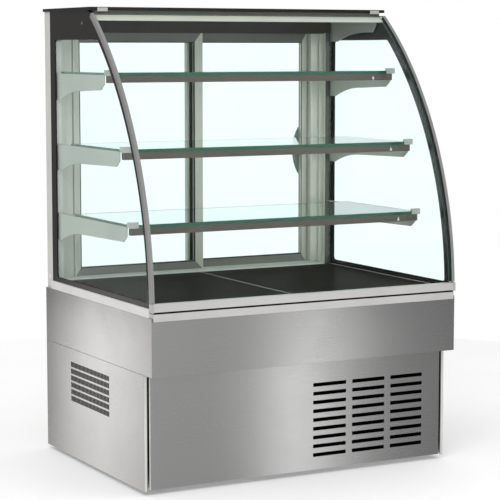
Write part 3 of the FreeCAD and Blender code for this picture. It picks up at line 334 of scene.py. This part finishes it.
def clear_glass(name, tint, shadow_tint):
    """Float glass with a slight roller wave, which lets light through."""
    made = Finish(name, Roughness=0.0, IOR=1.14)
    made.set("Transmission Weight", 1.0)
    wave = made.noise(6, 1)
    made.set("Base Color", made.blend(made.between(wave, 0, 1), shade(tint, 0.995),
                                      shade(tint, 1)))
    made.bump(wave, 0.00006, 0.35)
    path = made.node("LightPath")
    passes = made.math("MAXIMUM", path.outputs["Is Shadow Ray"], path.outputs["Is Diffuse Ray"])
    clear = made.node("BsdfTransparent", {"Color": shadow_tint})
    mixed = made.node("MixShader", {0: passes, 1: made.shader.outputs[0], 2: clear.outputs[0]})
    output = made.tree.nodes["Material Output"]
    made.tree.links.new(mixed.outputs[0], output.inputs["Surface"])
    return made.material


def glass_edge(name, colour, rough=0.12):
    """Ground and polished glass edge, deep green from the length of glass behind it."""
    made = Finish(name, Coat_Weight=0.4, Coat_Roughness=0.05)
    streaks = made.noise(300, 3, (0.08, 0.08, 1))
    made.set("Base Color", made.blend(made.between(streaks, 0, 1), shade(colour, 0.8),
                                      shade(colour, 1.2)))
    made.set("Roughness", made.between(streaks, rough, rough + 0.1))
    return made.material


def matte(name, colour):
    """Woven black mesh that reflects next to nothing."""
    made = Finish(name, Roughness=0.9, Specular_IOR_Level=0.0)
    weave = made.noise(900, 2)
    made.set("Base Color", made.blend(made.between(weave, 0, 1), shade(colour, 0.6),
                                      shade(colour, 1.4)))
    return made.material


def diffuser(name, colour, glow):
    """Opal plastic in front of the lamp, with fine ribs along it."""
    made = Finish(name, Roughness=0.35)
    ribs = made.noise(420, 2, (0.02, 1, 1))
    clouds = made.noise(5, 2)
    made.set("Base Color", made.blend(made.between(clouds, 0, 1), shade(colour, 0.9),
                                      shade(colour, 1)))
    made.set("Emission Color", shade(colour, 1))
    made.set("Emission Strength", glow)
    made.bump(ribs, 0.00003)
    return made.material


def foam(name, colour):
    """Cut insulating foam with open cells."""
    made = Finish(name)
    cells = made.noise(500, 4)
    made.set("Base Color", made.blend(made.between(cells, 0, 1), shade(colour, 0.8),
                                      shade(colour, 1.1)))
    made.set("Roughness", made.between(cells, 0.8, 0.95))
    made.bump(cells, 0.0004)
    return made.material


def finned(name, colour, metallic):
    """A block of thin fins, seen edge on, with the shadow between each two."""
    made = Finish(name, Metallic=metallic)
    fins = made.node("TexWave", {"Vector": made.node("TexCoord").outputs["Object"], "Scale": 125.0,
                                 "Distortion": 0.0}, bands_direction="X").outputs["Fac"]
    dirt = made.noise(30, 3)
    edges = made.blend(made.between(fins, 0, 1, 0.35, 0.7), shade(colour, 0.12), shade(colour, 1))
    made.set("Base Color", made.blend(made.between(dirt, 0, 0.4), edges, shade(colour, 0.6)))
    made.set("Roughness", made.between(dirt, 0.35, 0.55))
    made.bump(fins, 0.0008)
    return made.material


STEEL = (0.60, 0.60, 0.595)
DOOR = (0.74, 0.72, 0.65)
# Top and bottom rails of the doors: the same aluminium painted darker, as painted shade.
DOOR_TOP_PAINTED_SHADE = (0.19, 0.185, 0.175)
DOOR_LOW_PAINTED_SHADE = (0.30, 0.295, 0.27)
OUTER_STILE = 21.5 * MM
MEETING_STILE = 31 * MM
TOP_RAIL = 40 * MM
LOW_RAIL = 31 * MM
UP = (0, 0, 1)
BACK = (0, 1, 0)

LOOKS = {
    "steel_front": brushed("stainless_front", STEEL, "x", UP, wave=0.0006),
    "steel_side": brushed("stainless_side", STEEL, "y", UP, wave=0.0006),
    # The webs between the grille's slot rows are painted dark, as painted shade.
    "steel_grille": brushed("stainless_grille", STEEL, "y", UP, wave=0.0006, shade_mask=painted_web_shade),
    # The deck's steel has a far darker colour than the other steel: painted shade and a painted
    # dark reflection.
    "steel_deck": brushed("stainless_deck_painted_shade", (0.075, 0.068, 0.060), "x", BACK, (0.34, 0.42),
                          anisotropy=0.5, wave=0.0004, rim=0.22),
    "steel_well": brushed("stainless_well", STEEL, "x", BACK, (0.35, 0.5), anisotropy=0.4),
    "galvanised": painted("galvanised", (0.48, 0.50, 0.51), 0.5, metallic=0.9),
    # The band between 518.4 and 523.6 mm on these extrusions is painted near black, as painted
    # shade in the gap.
    "aluminium_x": satin("aluminium_across",
                         gap_shade_tone((0.70, 0.69, 0.67), 518.4 * MM, 523.6 * MM), "x"),
    "aluminium_y": satin("aluminium_along", (0.78, 0.77, 0.755), "y", 0.3),
    "aluminium_z": satin("aluminium_upright", (0.74, 0.73, 0.67), "z", 0.3),
    "post_left": satin("left_post_aluminium", (0.72, 0.72, 0.68), "z", 0.3),
    # The right post's front face is painted dark, as painted shade.
    "post_right": satin("right_post_aluminium",
                        post_shade_tone((0.80, 0.79, 0.74), (0.12, 0.12, 0.115), 321 * MM), "z", 0.3),
    "trim": satin("trim_aluminium", (0.40, 0.40, 0.395), "z", 0.6, 0.3),
    "door_left": satin("left_door_aluminium",
                       mitred_tone("door_left_frame", OUTER_STILE, MEETING_STILE), "z", 0.3),
    "door_right": satin("right_door_aluminium",
                        mitred_tone("door_right_frame", MEETING_STILE, OUTER_STILE), "z", 0.3),
    "bracket": painted("bracket_enamel", (0.44, 0.46, 0.425), 0.42),
    "shelf_rail": satin("shelf_rail_bronze",
                        capped_tone((0.11, 0.09, 0.077), 442 * MM, (0.085, 0.07, 0.064)),
                        "x", 0.2, 0.4),
    "bronze": satin("bronze_aluminium", (0.035, 0.024, 0.021), "x", 0.2, 0.4),
    "canopy": satin("canopy_aluminium", (0.13, 0.12, 0.105), "x", 0.4, 0.32),
    "roof": painted("roof_enamel", (0.012, 0.012, 0.012), 0.18),
    "border": painted("border_enamel", (0.022, 0.019, 0.017), 0.2, 0.00001),
    "glass": clear_glass("clear_glass", (0.93, 1.0, 0.997), (0.94, 0.96, 0.94, 1)),
    "shelf_glass": clear_glass("shelf_glass", (0.84, 0.95, 0.90), (0.86, 0.90, 0.86, 1)),
    "green_edge": glass_edge("polished_edge", (0.0, 0.085, 0.045)),
    "plain_edge": glass_edge("ground_edge", (0.07, 0.12, 0.10), 0.2),
    "grey_plastic": moulded("grey_plastic", (0.42, 0.42, 0.40), 0.42),
    "handle": moulded("handle_plastic", (0.30, 0.32, 0.285), 0.38),
    # Both screens are near black, partly painted shade of the machine compartment behind them.
    "screen": matte("grille_screen", (0.012, 0.012, 0.012)),
    "black_screen": matte("black_screen", (0.001, 0.001, 0.001)),
    "white_clip": moulded("white_plastic", (0.80, 0.80, 0.78), 0.4),
    "black_plastic": moulded("black_plastic", (0.025, 0.025, 0.025), 0.5),
    "tray_plastic": moulded("tray_plastic", (0.22, 0.23, 0.24), 0.5),
    "rubber": moulded("black_rubber", (0.018, 0.018, 0.018), 0.7),
    "lamp": diffuser("lamp_diffuser", (0.64, 0.60, 0.545), 0.02),
    "foam": foam("insulating_foam", (0.72, 0.64, 0.40)),
    "fins": finned("fin_aluminium", (0.72, 0.73, 0.74), 0.9),
    "condenser_fins": finned("black_fins", (0.06, 0.06, 0.062), 0.3),
    "machine_black": painted("machine_black", (0.016, 0.016, 0.017), 0.4),
    "copper": brushed("copper", (0.80, 0.40, 0.26), "x", UP, (0.22, 0.36), 0.2),
    "screw": brushed("screw_steel", (0.72, 0.72, 0.71), "x", UP, (0.16, 0.28), 0.2),
}


# ---------- mesh building ----------

def smooth_group():
    """Node group that shades a mesh smooth, for pieces whose edges are already rounded."""
    group = bpy.data.node_groups.new("shade_smooth", "GeometryNodeTree")
    group.interface.new_socket("Geometry", in_out="INPUT", socket_type="NodeSocketGeometry")
    group.interface.new_socket("Geometry", in_out="OUTPUT", socket_type="NodeSocketGeometry")
    entry = group.nodes.new("NodeGroupInput")
    smooth = group.nodes.new("GeometryNodeSetShadeSmooth")
    leave = group.nodes.new("NodeGroupOutput")
    group.links.new(entry.outputs[0], smooth.inputs["Geometry"])
    group.links.new(smooth.outputs[0], leave.inputs[0])
    return group


SMOOTH = smooth_group()


def soften(obj, width, weld=False, flatten=True):
    """Round the sharp edges of a piece and shade it smooth."""
    if weld:
        joined = obj.modifiers.new("weld", "WELD")
        joined.merge_threshold = 0.00001
    if weld and flatten:
        flat = obj.modifiers.new("flat", "DECIMATE")
        flat.decimate_type = "DISSOLVE"
        flat.angle_limit = math.radians(0.5)
    bevel = obj.modifiers.new("bevel", "BEVEL")
    bevel.width = width
    bevel.segments = 2
    bevel.limit_method = "ANGLE"
    bevel.angle_limit = math.radians(35)
    bevel.miter_outer = "MITER_ARC"
    nodes = obj.modifiers.new("smooth", "NODES")
    nodes.node_group = SMOOTH
    normals = obj.modifiers.new("normals", "WEIGHTED_NORMAL")
    normals.keep_sharp = True


def keep(nodes, look, width=0.0, flatten=True):
    """Finish CAD nodes that stay, with their sharp edges rounded a little."""
    for name in nodes.split():
        obj = frame["nodes"][name]
        obj.material_slots[0].material = LOOKS[look]
        if width:
            soften(obj, width * MM, weld=True, flatten=flatten)


def finish_piece(name, mesh, looks, body, stands_for=(), edge=0.0):
    """Put a mesh in the scene as a piece that rides on a body."""
    bpy_mesh = bpy.data.meshes.new(name)
    mesh.to_mesh(bpy_mesh)
    mesh.free()
    for look in looks:
        bpy_mesh.materials.append(LOOKS[look])
    obj = bpy.data.objects.new(name, bpy_mesh)
    bpy.context.scene.collection.objects.link(obj)
    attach(obj, body)
    if stands_for:
        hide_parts(*stands_for)
    if edge:
        soften(obj, edge)
    return obj


def place(axis, along, across, up):
    """A point from its station along one axis and its place in the plane of the other two."""
    if axis == "x":
        return Vector((along, across, up))
    if axis == "y":
        return Vector((across, along, up))
    return Vector((across, up, along))


def loft(mesh, rings):
    """Skin closed rings of points in order, and cap the first and the last."""
    rows = [[mesh.verts.new(point) for point in ring] for ring in rings]
    count = len(rows[0])
    faces = []
    for first, second in zip(rows, rows[1:]):
        for index in range(count):
            after = (index + 1) % count
            faces.append(mesh.faces.new((first[index], first[after], second[after],
                                         second[index])))
    faces.append(mesh.faces.new(rows[0][::-1]))
    faces.append(mesh.faces.new(rows[-1]))
    return faces


def prism(mesh, axis, outline, start, end):
    """A bar of constant section along one axis."""
    faces = loft(mesh, [[place(axis, station, *point) for point in outline]
                        for station in (start, end)])
    bmesh.ops.recalc_face_normals(mesh, faces=faces)
    return faces


def brick(mesh, low, high):
    """A rectangular block between two corners."""
    outline = [(low[1], low[2]), (high[1], low[2]), (high[1], high[2]), (low[1], high[2])]
    prism(mesh, "x", outline, low[0], high[0])


def round_corners(points, radius, steps):
    """Replace each corner of an outline with an arc of that radius, in that many steps."""
    rounded = []
    count = len(points)
    for index in range(count):
        before, corner, after = (Vector(points[(index + turn) % count]) for turn in (-1, 0, 1))
        into = (before - corner).normalized()
        out = (after - corner).normalized()
        half = into.angle(out) / 2
        if half > math.radians(85):
            rounded.append(tuple(corner))
            continue
        reach = min(radius / math.tan(half), 0.45 * (before - corner).length,
                    0.45 * (after - corner).length)
        centre = corner + (into + out).normalized() * (reach / math.cos(half))
        first = corner + into * reach - centre
        last = corner + out * reach - centre
        turn = first.angle_signed(last)
        for step in range(steps + 1):
            angle = -turn * step / steps
            rounded.append((centre.x + first.x * math.cos(angle) - first.y * math.sin(angle),
                            centre.y + first.x * math.sin(angle) + first.y * math.cos(angle)))
    return rounded


def on_arc(radius, angle, x=0.0):
    """A point on a circle about the front glass's axis, at an angle above the horizontal."""
    return Vector((x, ARC_Y - radius * math.cos(angle), ARC_Z + radius * math.sin(angle)))


def swept_on_arc(mesh, section, start, end):
    """A section of (x, radius) points swept up the glass's arc between two angles."""
    rings = [[on_arc(radius, start + (end - start) * step / ARC_STEPS, x)
              for x, radius in section] for step in range(ARC_STEPS + 1)]
    faces = loft(mesh, rings)
    bmesh.ops.recalc_face_normals(mesh, faces=faces)
    return faces


# ---------- glazing ----------

def paint_edges(faces, wide, look):
    """Give the narrow faces of a pane its edge look; wide says which faces stay clear."""
    for face in faces:
        if not wide(face):
            face.material_index = look


def front_pane():
    """Curved pane with arrised edges."""
    low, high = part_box("front_glass")
    arris = 0.8 * MM
    full_width = 0.9
    inner = GLASS_RADIUS - GLASS_GAUGE
    section = [(low.x + arris, GLASS_RADIUS), (low.x, GLASS_RADIUS - arris), (low.x, inner + arris),
               (low.x + arris, inner), (high.x - arris, inner), (high.x, inner + arris),
               (high.x, GLASS_RADIUS - arris), (high.x - arris, GLASS_RADIUS)]
    mesh = bmesh.new()
    faces = swept_on_arc(mesh, section, GLASS_FOOT, ARC_TOP)
    paint_edges(faces, lambda face: max(edge.calc_length() for edge in face.edges) > full_width
                and len(face.verts) == 4, 1)
    obj = finish_piece("front_glass_pane", mesh, ["glass", "plain_edge"], "front_glass_leaf",
                       ["front_glass"])
    obj.data.shade_smooth()
    obj.data.set_sharp_from_angle(angle=math.radians(25))


def edge_trims():
    """Drawn channel along each side edge of the curved glass, with a groove down its face."""
    outer = GLASS_RADIUS + 1 * MM
    under = GLASS_RADIUS - GLASS_GAUGE - 0.1 * MM
    over = GLASS_RADIUS + 0.1 * MM
    heel = outer - 15 * MM
    edge, lip, wall = 500 * MM, 490 * MM, 495.3 * MM
    shape = [(edge, outer), (edge, heel), (lip, heel), (lip, under), (wall, under), (wall, over),
             (lip, over), (lip, outer), (493.6 * MM, outer), (493.9 * MM, outer - 0.6 * MM),
             (495.3 * MM, outer - 0.6 * MM), (495.6 * MM, outer)]
    for side, name in ((-1, "left"), (1, "right")):
        mesh = bmesh.new()
        section = [(side * x, radius) for x, radius in shape]
        faces = swept_on_arc(mesh, section, TRIM_FOOT, ARC_TOP)
        inside = (edge + lip) / 2
        for face in faces:
            middle = face.calc_center_median()
            radius = math.hypot(middle.y - ARC_Y, middle.z - ARC_Z)
            if abs(middle.x) < inside and radius < under and len(face.verts) == 4:
                face.material_index = 1
        obj = finish_piece("glass_edge_trim_" + name, mesh, ["trim", "rubber"],
                           "front_glass_leaf", ["glass_edge_trims"],
                           edge=0.5 * MM)
        obj.modifiers["bevel"].angle_limit = math.radians(50)


def side_outline(inset):
    """Outline of a side pane in (y, z): its front edge follows the curved glass."""
    steps = 48
    low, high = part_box("side_glass_left")
    radius = SIDE_RADIUS - inset
    top = high.z - inset
    bottom = low.z + inset
    last = math.asin((top - ARC_Z) / radius)
    first = math.asin(max(bottom - ARC_Z, 0.0) / radius)
    arc = [on_arc(radius, first + (last - first) * step / steps) for step in range(steps + 1)]
    points = [(max(point.y, low.y + inset), point.z) for point in arc]
    return points + [(high.y - inset, top), (high.y - inset, bottom), (points[0][0], bottom)]


def window_outline():
    """Inner edge of the printed border, in (y, z), with rounded corners."""
    steps = 40
    radius = SIDE_RADIUS - 20 * MM
    low, top, back = 546 * MM, 1266 * MM, 306 * MM
    corner = 16 * MM
    first = math.asin((low - ARC_Z) / radius)
    last = math.asin((top - ARC_Z) / radius)
    arc = [on_arc(radius, first + (last - first) * step / steps) for step in range(steps + 1)]
    outline = [(point.y, point.z) for point in arc] + [(back, top), (back, low)]
    return round_ends(outline, (0, steps, steps + 1, steps + 2), corner)


def round_ends(outline, corners, radius):
    """Round only the named corners of an outline, dropping the points that the arc replaces."""
    steps = 5
    near = [Vector(outline[corner]) for corner in corners]
    result = []
    for index, point in enumerate(outline):
        here = Vector(point)
        if index in corners:
            before = walk_back(outline, index, -1, radius)
            after = walk_back(outline, index, 1, radius)
            arcs = round_corners([before, point, after], radius * 0.7, steps)
            own = arcs[steps + 1:2 * steps + 2]
            result += own if len(own) > steps else [point]
        elif min((here - corner).length for corner in near) > radius * 1.2:
            result.append(point)
    return result


def walk_back(outline, index, direction, distance):
    """The first outline point at least that far from a corner, going one way."""
    here = Vector(outline[index])
    for step in range(1, len(outline)):
        point = outline[(index + direction * step) % len(outline)]
        if (Vector(point) - here).length >= distance:
            return point
    return outline[(index + direction) % len(outline)]


def side_panes():
    """Flat side panes, each with a border on both its faces."""
    for side, name in ((-1, "left"), (1, "right")):
        low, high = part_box("side_glass_" + name)
        inner = high.x if side < 0 else low.x
        outer = low.x if side < 0 else high.x
        mesh = bmesh.new()
        faces = prism(mesh, "x", side_outline(0.1 * MM), inner, outer)
        paint_edges(faces, lambda face: abs(face.normal.x) > 0.9, 1)
        finish_piece("side_pane_" + name, mesh, ["glass", "plain_edge"], "case",
                     ["side_glass_" + name])
        near, far = side * 0.01 * MM, side * 0.07 * MM
        border(name, (inner - near, inner - far), (outer + near, outer + far))


def border(name, *layers):
    """Enamel border of a side pane, as a thin film on each face."""
    film = bmesh.new()
    for near, far in layers:
        loops = []
        for outline in (side_outline(0.4 * MM), window_outline()):
            verts = [film.verts.new((near, y, z)) for y, z in outline]
            loops += [film.edges.new((verts[index - 1], verts[index]))
                      for index in range(len(verts))]
        filled = bmesh.ops.triangle_fill(film, edges=loops, use_beauty=True)
        faces = [item for item in filled["geom"] if isinstance(item, bmesh.types.BMFace)]
        raised = bmesh.ops.extrude_face_region(film, geom=faces)
        moved = [item for item in raised["geom"] if isinstance(item, bmesh.types.BMVert)]
        bmesh.ops.translate(film, verts=moved, vec=(far - near, 0, 0))
    bmesh.ops.recalc_face_normals(film, faces=film.faces)
    finish_piece("side_border_" + name, film, ["border"], "case")


def flat_pane(name, node, body, look, edge_look, thin):
    """A flat pane with ground edges; thin is the axis through its thickness."""
    low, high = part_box(node)
    arris = 0.6 * MM
    mesh = bmesh.new()
    brick(mesh, low, high)
    bmesh.ops.bevel(mesh, geom=list(mesh.edges), offset=arris, segments=1, affect="EDGES")
    for face in mesh.faces:
        if abs(face.normal["xyz".index(thin)]) < 0.9:
            face.material_index = 1
    finish_piece(name, mesh, [look, edge_look], body, [node])


def flat_panes():
    """The three shelves and the panes of the two doors."""
    for level in ("top", "middle", "bottom"):
        flat_pane("shelf_pane_" + level, "shelf_%s_glass" % level, "case",
                  "shelf_glass", "green_edge", "z")
    for side in ("left", "right"):
        flat_pane("door_pane_" + side, "door_%s_glass" % side, side + "_door",
                  "glass", "plain_edge", "y")


# ---------- added details ----------

def slab(name, low, high, look, body, slot, edge=0.0):
    """A small rectangular piece between two corners in millimetres."""
    mesh = bmesh.new()
    brick(mesh, [number * MM for number in low], [number * MM for number in high])
    finish_piece(name, mesh, [look], body, edge=edge * MM)


def grille_screens():
    """Mesh filters behind the ventilation slots, near black, which also stand in for the shade
    inside the machine compartment (painted shade).
    """
    # Painted shade: the filters are near black so that the slots read as the dark inside of the
    # machine compartment.
    slab("side_grille_screen", *SIDE_SCREEN, "screen", "case", "black_plastic")
    slab("front_grille_screen", *FRONT_SCREEN, "black_screen", "case", "black_plastic")


def flange_highlight_strips():
    """Thin bright strips on the front flanges of the lower side skins and of the front service
    panel: painted highlights where their bends catch the light.
    """
    proud, short = 0.35, 1
    for name, reach, panel in (("left", (0.6, 8.4), "lower_side_panel_left"),
                               ("right", (-8.4, -0.6), "lower_side_panel_right"),
                               ("service", (0.4, 3.4), "front_service_panel")):
        low, high = (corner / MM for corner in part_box(panel))
        side = high.x if reach[0] < 0 else low.x
        # Painted highlight: a bright aluminium strip laid just proud of each flange.
        slab("flange_highlight_strip_" + name, (side + reach[0], low.y - proud, low.z + short),
             (side + reach[1], low.y, high.z - short), "post_left", "case", "brushed_stainless")


def deck_joint():
    """Bright joint strip between the two deck plates."""
    low, high = (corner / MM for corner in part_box("deck_plate_left"))
    short, sunk, proud = 2, 1, 0.3
    slab("deck_joint", (high.x - 0.6, low.y + short, high.z - sunk),
         (high.x + 1.6, high.y - short, high.z + proud), "post_left", "case",
         "brushed_stainless")


def shelf_edges():
    """Deep polished front edge of each shelf, and the small tab on its rail."""
    half, proud, tall, short = 455, 0.7, 9, 0.2
    tab_corners = ((405, 20), (413, 20), (409, 8))
    for level in ("top", "middle", "bottom"):
        low, high = (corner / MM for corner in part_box("shelf_%s_glass" % level))
        slab("shelf_edge_" + level, (-half, low.y - proud, high.z - tall),
             (half, low.y, high.z - short), "green_edge", "case", "shelf_glass")
        under = high.z - 6
        outline = [(x * MM, (under - drop) * MM) for x, drop in tab_corners]
        mesh = bmesh.new()
        prism(mesh, "y", outline, (low.y - 0.5) * MM, (low.y + 1.5) * MM)
        finish_piece("rail_tab_" + level, mesh, ["white_clip"], "case")


def door_gaskets():
    """Rubber glazing beads round each door's pane."""
    bead, rise, deep = 2.5 * MM, 0.6 * MM, 5 * MM
    for side, left_stile, right_stile in (("left", OUTER_STILE, MEETING_STILE),
                                          ("right", MEETING_STILE, OUTER_STILE)):
        low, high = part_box("door_%s_frame" % side)
        left, right = low.x + left_stile, high.x - right_stile
        bottom, top = low.z + LOW_RAIL, high.z - TOP_RAIL
        mesh = bmesh.new()
        for near, far in ((low.y - rise, low.y + deep), (high.y - deep, high.y)):
            brick(mesh, (left - bead, near, bottom), (left, far, top))
            brick(mesh, (right, near, bottom), (right + bead, far, top))
            brick(mesh, (left - bead, near, bottom - bead), (right + bead, far, bottom))
            brick(mesh, (left - bead, near, top), (right + bead, far, top + bead))
        finish_piece("door_gasket_" + side, mesh, ["rubber"], side + "_door")


def meeting_brush():
    """Brush down the meeting stile of the right door."""
    low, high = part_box("door_right_frame")
    inset, wide, deep, short = 8 * MM, 9 * MM, 4 * MM, 8 * MM
    mesh = bmesh.new()
    brick(mesh, (low.x + inset, low.y - deep, low.z + short),
          (low.x + inset + wide, low.y, high.z - short))
    finish_piece("meeting_brush", mesh, ["bronze"], "right_door")


def handle_screws():
    """Two countersunk heads that hold the pull plate."""
    low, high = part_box("door_right_handle")
    radius, inset, from_end = 4 * MM, 9 * MM, 22 * MM
    rims = ((1, 3.2 * MM), (1, 1.9 * MM), (0.8, 1.5 * MM))
    sides = 24
    angles = [math.tau * turn / sides for turn in range(sides)]
    circle = [(radius * math.cos(angle), radius * math.sin(angle)) for angle in angles]
    for number, up in enumerate((low.z + from_end, high.z - from_end)):
        mesh = bmesh.new()
        rings = [[Vector((high.x - inset + x * share, high.y - depth, up + z * share))
                  for x, z in circle] for share, depth in rims]
        faces = loft(mesh, rings)
        bmesh.ops.recalc_face_normals(mesh, faces=faces)
        finish_piece("handle_screw_%d" % number, mesh, ["screw"], "right_door")


def glass_clips():
    """White clip at the lower rear corner of each side pane."""
    inner, outer = 494.2, 497
    for side, name in ((-1, "left"), (1, "right")):
        left, right = sorted((side * inner, side * outer))
        slab("glass_clip_" + name, (left, 352, 536), (right, 364, 549), "white_clip", "case",
             "grey_plastic", 0.8)


# ---------- kept nodes ----------

def kept_nodes():
    """Finish every CAD node that no piece stands for."""
    keep("upper_front_panel front_service_panel upper_rear_panel rear_service_panel",
         "steel_front", 0.35)
    keep("upper_side_panel_left upper_side_panel_right lower_side_panel_right",
         "steel_side", 0.35)
    keep("lower_side_panel_left", "steel_grille", 0.35)
    keep("deck_plate_left deck_plate_right", "steel_deck", 0.5)
    keep("tank_liner", "steel_well", 0.4)
    keep("base_floor base_uprights", "galvanised", 0.4)
    keep("front_rail glass_profile door_track_bottom", "aluminium_x", 0.35)
    keep("side_rails", "aluminium_y", 0.5)
    keep("door_jambs", "aluminium_z", 0.4)
    keep("corner_post_left", "post_left", 0.4)
    keep("corner_post_right", "post_right", 0.4)
    keep("shelf_top_brackets shelf_middle_brackets shelf_bottom_brackets canopy_arms",
         "bracket", 0.4)
    keep("shelf_rails", "shelf_rail", 0.4)
    keep("rear_header", "bronze", 0.4)
    keep("canopy_profile", "canopy", 0.4)
    keep("roof_panel", "roof", 0.8)
    keep("profile_end_caps shelf_clips roof_catches lamp_end_caps", "grey_plastic", 0.8)
    keep("lamp_bar", "lamp", 0.8)
    keep("levelling_feet", "rubber", 0.6)
    keep("tank_insulation", "foam")
    keep("evaporator_coil", "fins")
    keep("condenser_coil", "condenser_fins")
    keep("compressor", "machine_black")
    keep("evaporator_fan_housing condenser_fan_shroud evaporator_fan condenser_fan",
         "black_plastic")
    keep("temperature_controller power_inlet power_switch_rocker", "black_plastic", 0.3)
    keep("refrigerant_pipes", "copper")
    keep("condensate_tray", "tray_plastic", 0.6)
    keep("panel_screws", "screw", 0.3)
    keep("door_left_frame", "door_left", 0.5, flatten=False)
    keep("door_right_frame", "door_right", 0.5)
    keep("door_right_handle", "handle", 0.5)


# ---------- stage ----------

def look_along(yaw, pitch):
    """A direction, by its angle from +Y towards +X and its angle above the horizontal."""
    yaw, pitch = math.radians(yaw), math.radians(pitch)
    return Vector((math.sin(yaw) * math.cos(pitch), math.cos(yaw) * math.cos(pitch),
                   math.sin(pitch)))


def camera():
    data = bpy.data.cameras.new("camera")
    data.lens = CAMERA_LENS
    data.sensor_width = SENSOR
    obj = bpy.data.objects.new("camera", data)
    obj.location = CAMERA_PLACE
    obj.rotation_mode = "QUATERNION"
    obj.rotation_quaternion = look_along(CAMERA_YAW, CAMERA_PITCH).to_track_quat("-Z", "Y")
    bpy.context.scene.collection.objects.link(obj)
    bpy.context.scene.camera = obj


def stage_mesh(name, mesh, material):
    """Put a mesh in the scene that isn't part of the case."""
    data = bpy.data.meshes.new(name)
    mesh.to_mesh(data)
    mesh.free()
    data.materials.append(material)
    obj = bpy.data.objects.new(name, data)
    bpy.context.scene.collection.objects.link(obj)
    return obj


def floor():
    """Round pale floor."""
    made = Finish("pale_floor", Roughness=0.6)
    made.set("Emission Color", (1, 1, 1, 1))
    made.set("Emission Strength", 0.17)
    grain = made.noise(3, 3)
    made.set("Base Color", made.blend(made.between(grain, 0, 1), (0.90, 0.90, 0.90, 1),
                                      (0.93, 0.93, 0.93, 1)))
    mesh = bmesh.new()
    bmesh.ops.create_circle(mesh, cap_ends=True, segments=96, radius=2.4)
    plane = stage_mesh("floor", mesh, made.material)
    plane.visible_glossy = False


def facing(azimuth):
    """A level direction, by its angle from the front towards the customer's right."""
    turn = math.radians(azimuth)
    return (math.sin(turn), -math.cos(turn), 0.0)


def world():
    """White studio that looks darker in reflections, most of all towards two walls."""
    made = bpy.data.worlds.new("studio")
    made.use_nodes = True
    studio = Nodes(made.node_tree)
    path = studio.node("LightPath").outputs
    way = studio.node("TexCoord").outputs["Generated"]
    side = studio.node("SeparateXYZ", {0: way}).outputs["X"]
    left, near, far, right = DARK_STRIP
    strip = studio.math("MULTIPLY", studio.between(side, 0, 1, left, near, "SMOOTHSTEP"),
                        studio.between(side, 1, 0, far, right, "SMOOTHSTEP"))
    azimuth, inner, outer = DARK_WALL
    along = studio.node("VectorMath", {0: way, 1: facing(azimuth)}, operation="DOT_PRODUCT")
    wall = studio.between(along.outputs["Value"], 0, 1, math.cos(math.radians(outer)),
                          math.cos(math.radians(inner)), "SMOOTHSTEP")
    glossy = studio.pick(studio.math("MAXIMUM", strip, wall), REFLECTED, REFLECTED_DARK)
    strength = studio.pick(path["Is Glossy Ray"], DIFFUSE, glossy)
    strength = studio.pick(path["Is Transmission Ray"], strength, THROUGH_GLASS)
    strength = studio.pick(path["Is Camera Ray"], strength, 1.0)
    background = made.node_tree.nodes["Background"]
    studio.feed(background.inputs["Strength"], strength)
    background.inputs["Color"].default_value = (1, 1, 1, 1)
    bpy.context.scene.world = made


def card_light(name, along, reach, band, low, high):
    """Soft-edged glow over a card.

    band gives its glow at shares of the reach along an axis, and low and high each give a share
    of that glow and the height where it holds.
    """
    material = bpy.data.materials.new(name)
    material.use_nodes = True
    material.cycles.emission_sampling = "NONE"
    card = Nodes(material.node_tree)
    spot = card.place()
    ramp = card.node("ValToRGB", {0: card.between(spot[along], 0, 1, *reach)})
    ramp.color_ramp.interpolation = "B_SPLINE"
    elements = ramp.color_ramp.elements
    for position, value in band:
        elements.new(position).color = (value, value, value, 1)
    elements.remove(elements[0])
    elements.remove(elements[-1])
    share = card.between(spot["Z"], low[0], high[0], low[1], high[1])
    glow = card.node("Emission", {"Strength": card.math("MULTIPLY", share, 2.0),
                                  "Color": ramp.outputs[0]})
    output = material.node_tree.nodes["Material Output"]
    card.tree.links.new(glow.outputs[0], output.inputs["Surface"])
    return material


def card(name, ends, heights, material):
    """An upright card between two points on the plan, seen only in reflections."""
    (start, end), (foot, top) = ends, heights
    mesh = bmesh.new()
    mesh.faces.new([mesh.verts.new((*point, height)) for point, height in (
        (start, foot), (end, foot), (end, top), (start, top))])
    obj = stage_mesh(name, mesh, material)
    obj.visible_camera = False
    obj.visible_diffuse = False
    obj.visible_transmission = False
    obj.visible_shadow = False


def cards():
    """Two low cards that the steel panels reflect as soft upright bands."""
    foot, top = -1.0, 0.27
    left, right, ahead = 0.2, 1.8, -2.1
    front = card_light("front_card", "X", (left, right), FRONT_BAND, (0.7, foot), (1.3, top))
    card("front_card", ((left, ahead), (right, ahead)), (foot, top), front)
    near, far, aside = 1.0, 2.8, -1.3
    side = card_light("side_card", "Y", (near, far), SIDE_BAND, (0.6, foot), (1.3, top))
    card("side_card", ((aside, near), (aside, far)), (foot, top), side)


def softbox(name, location, power):
    """A square light that points at the middle of the case."""
    middle = Vector((0, 0, 0.7))
    side = 2.4
    data = bpy.data.lights.new(name, "AREA")
    data.shape = "RECTANGLE"
    data.size = side
    data.size_y = side
    data.energy = power
    obj = bpy.data.objects.new(name, data)
    obj.location = location
    obj.rotation_mode = "QUATERNION"
    obj.rotation_quaternion = (middle - Vector(location)).to_track_quat("-Z", "Y")
    obj.visible_glossy = False
    bpy.context.scene.collection.objects.link(obj)


def stage():
    camera()
    floor()
    world()
    cards()
    softbox("key_light", (-2.6, -2.6, 3.2), 60)
    softbox("fill_light", (3.0, -2.2, 2.6), 18)
    scene = bpy.context.scene
    scene.view_settings.view_transform = "Standard"
    scene.cycles.transparent_max_bounces = 32
    scene.cycles.max_bounces = 16
    scene.cycles.transmission_bounces = 16


# ---------- assembly ----------

kept_nodes()
front_pane()
edge_trims()
side_panes()
flat_panes()
grille_screens()
flange_highlight_strips()
deck_joint()
shelf_edges()
door_gaskets()
meeting_brush()
handle_screws()
glass_clips()
stage()
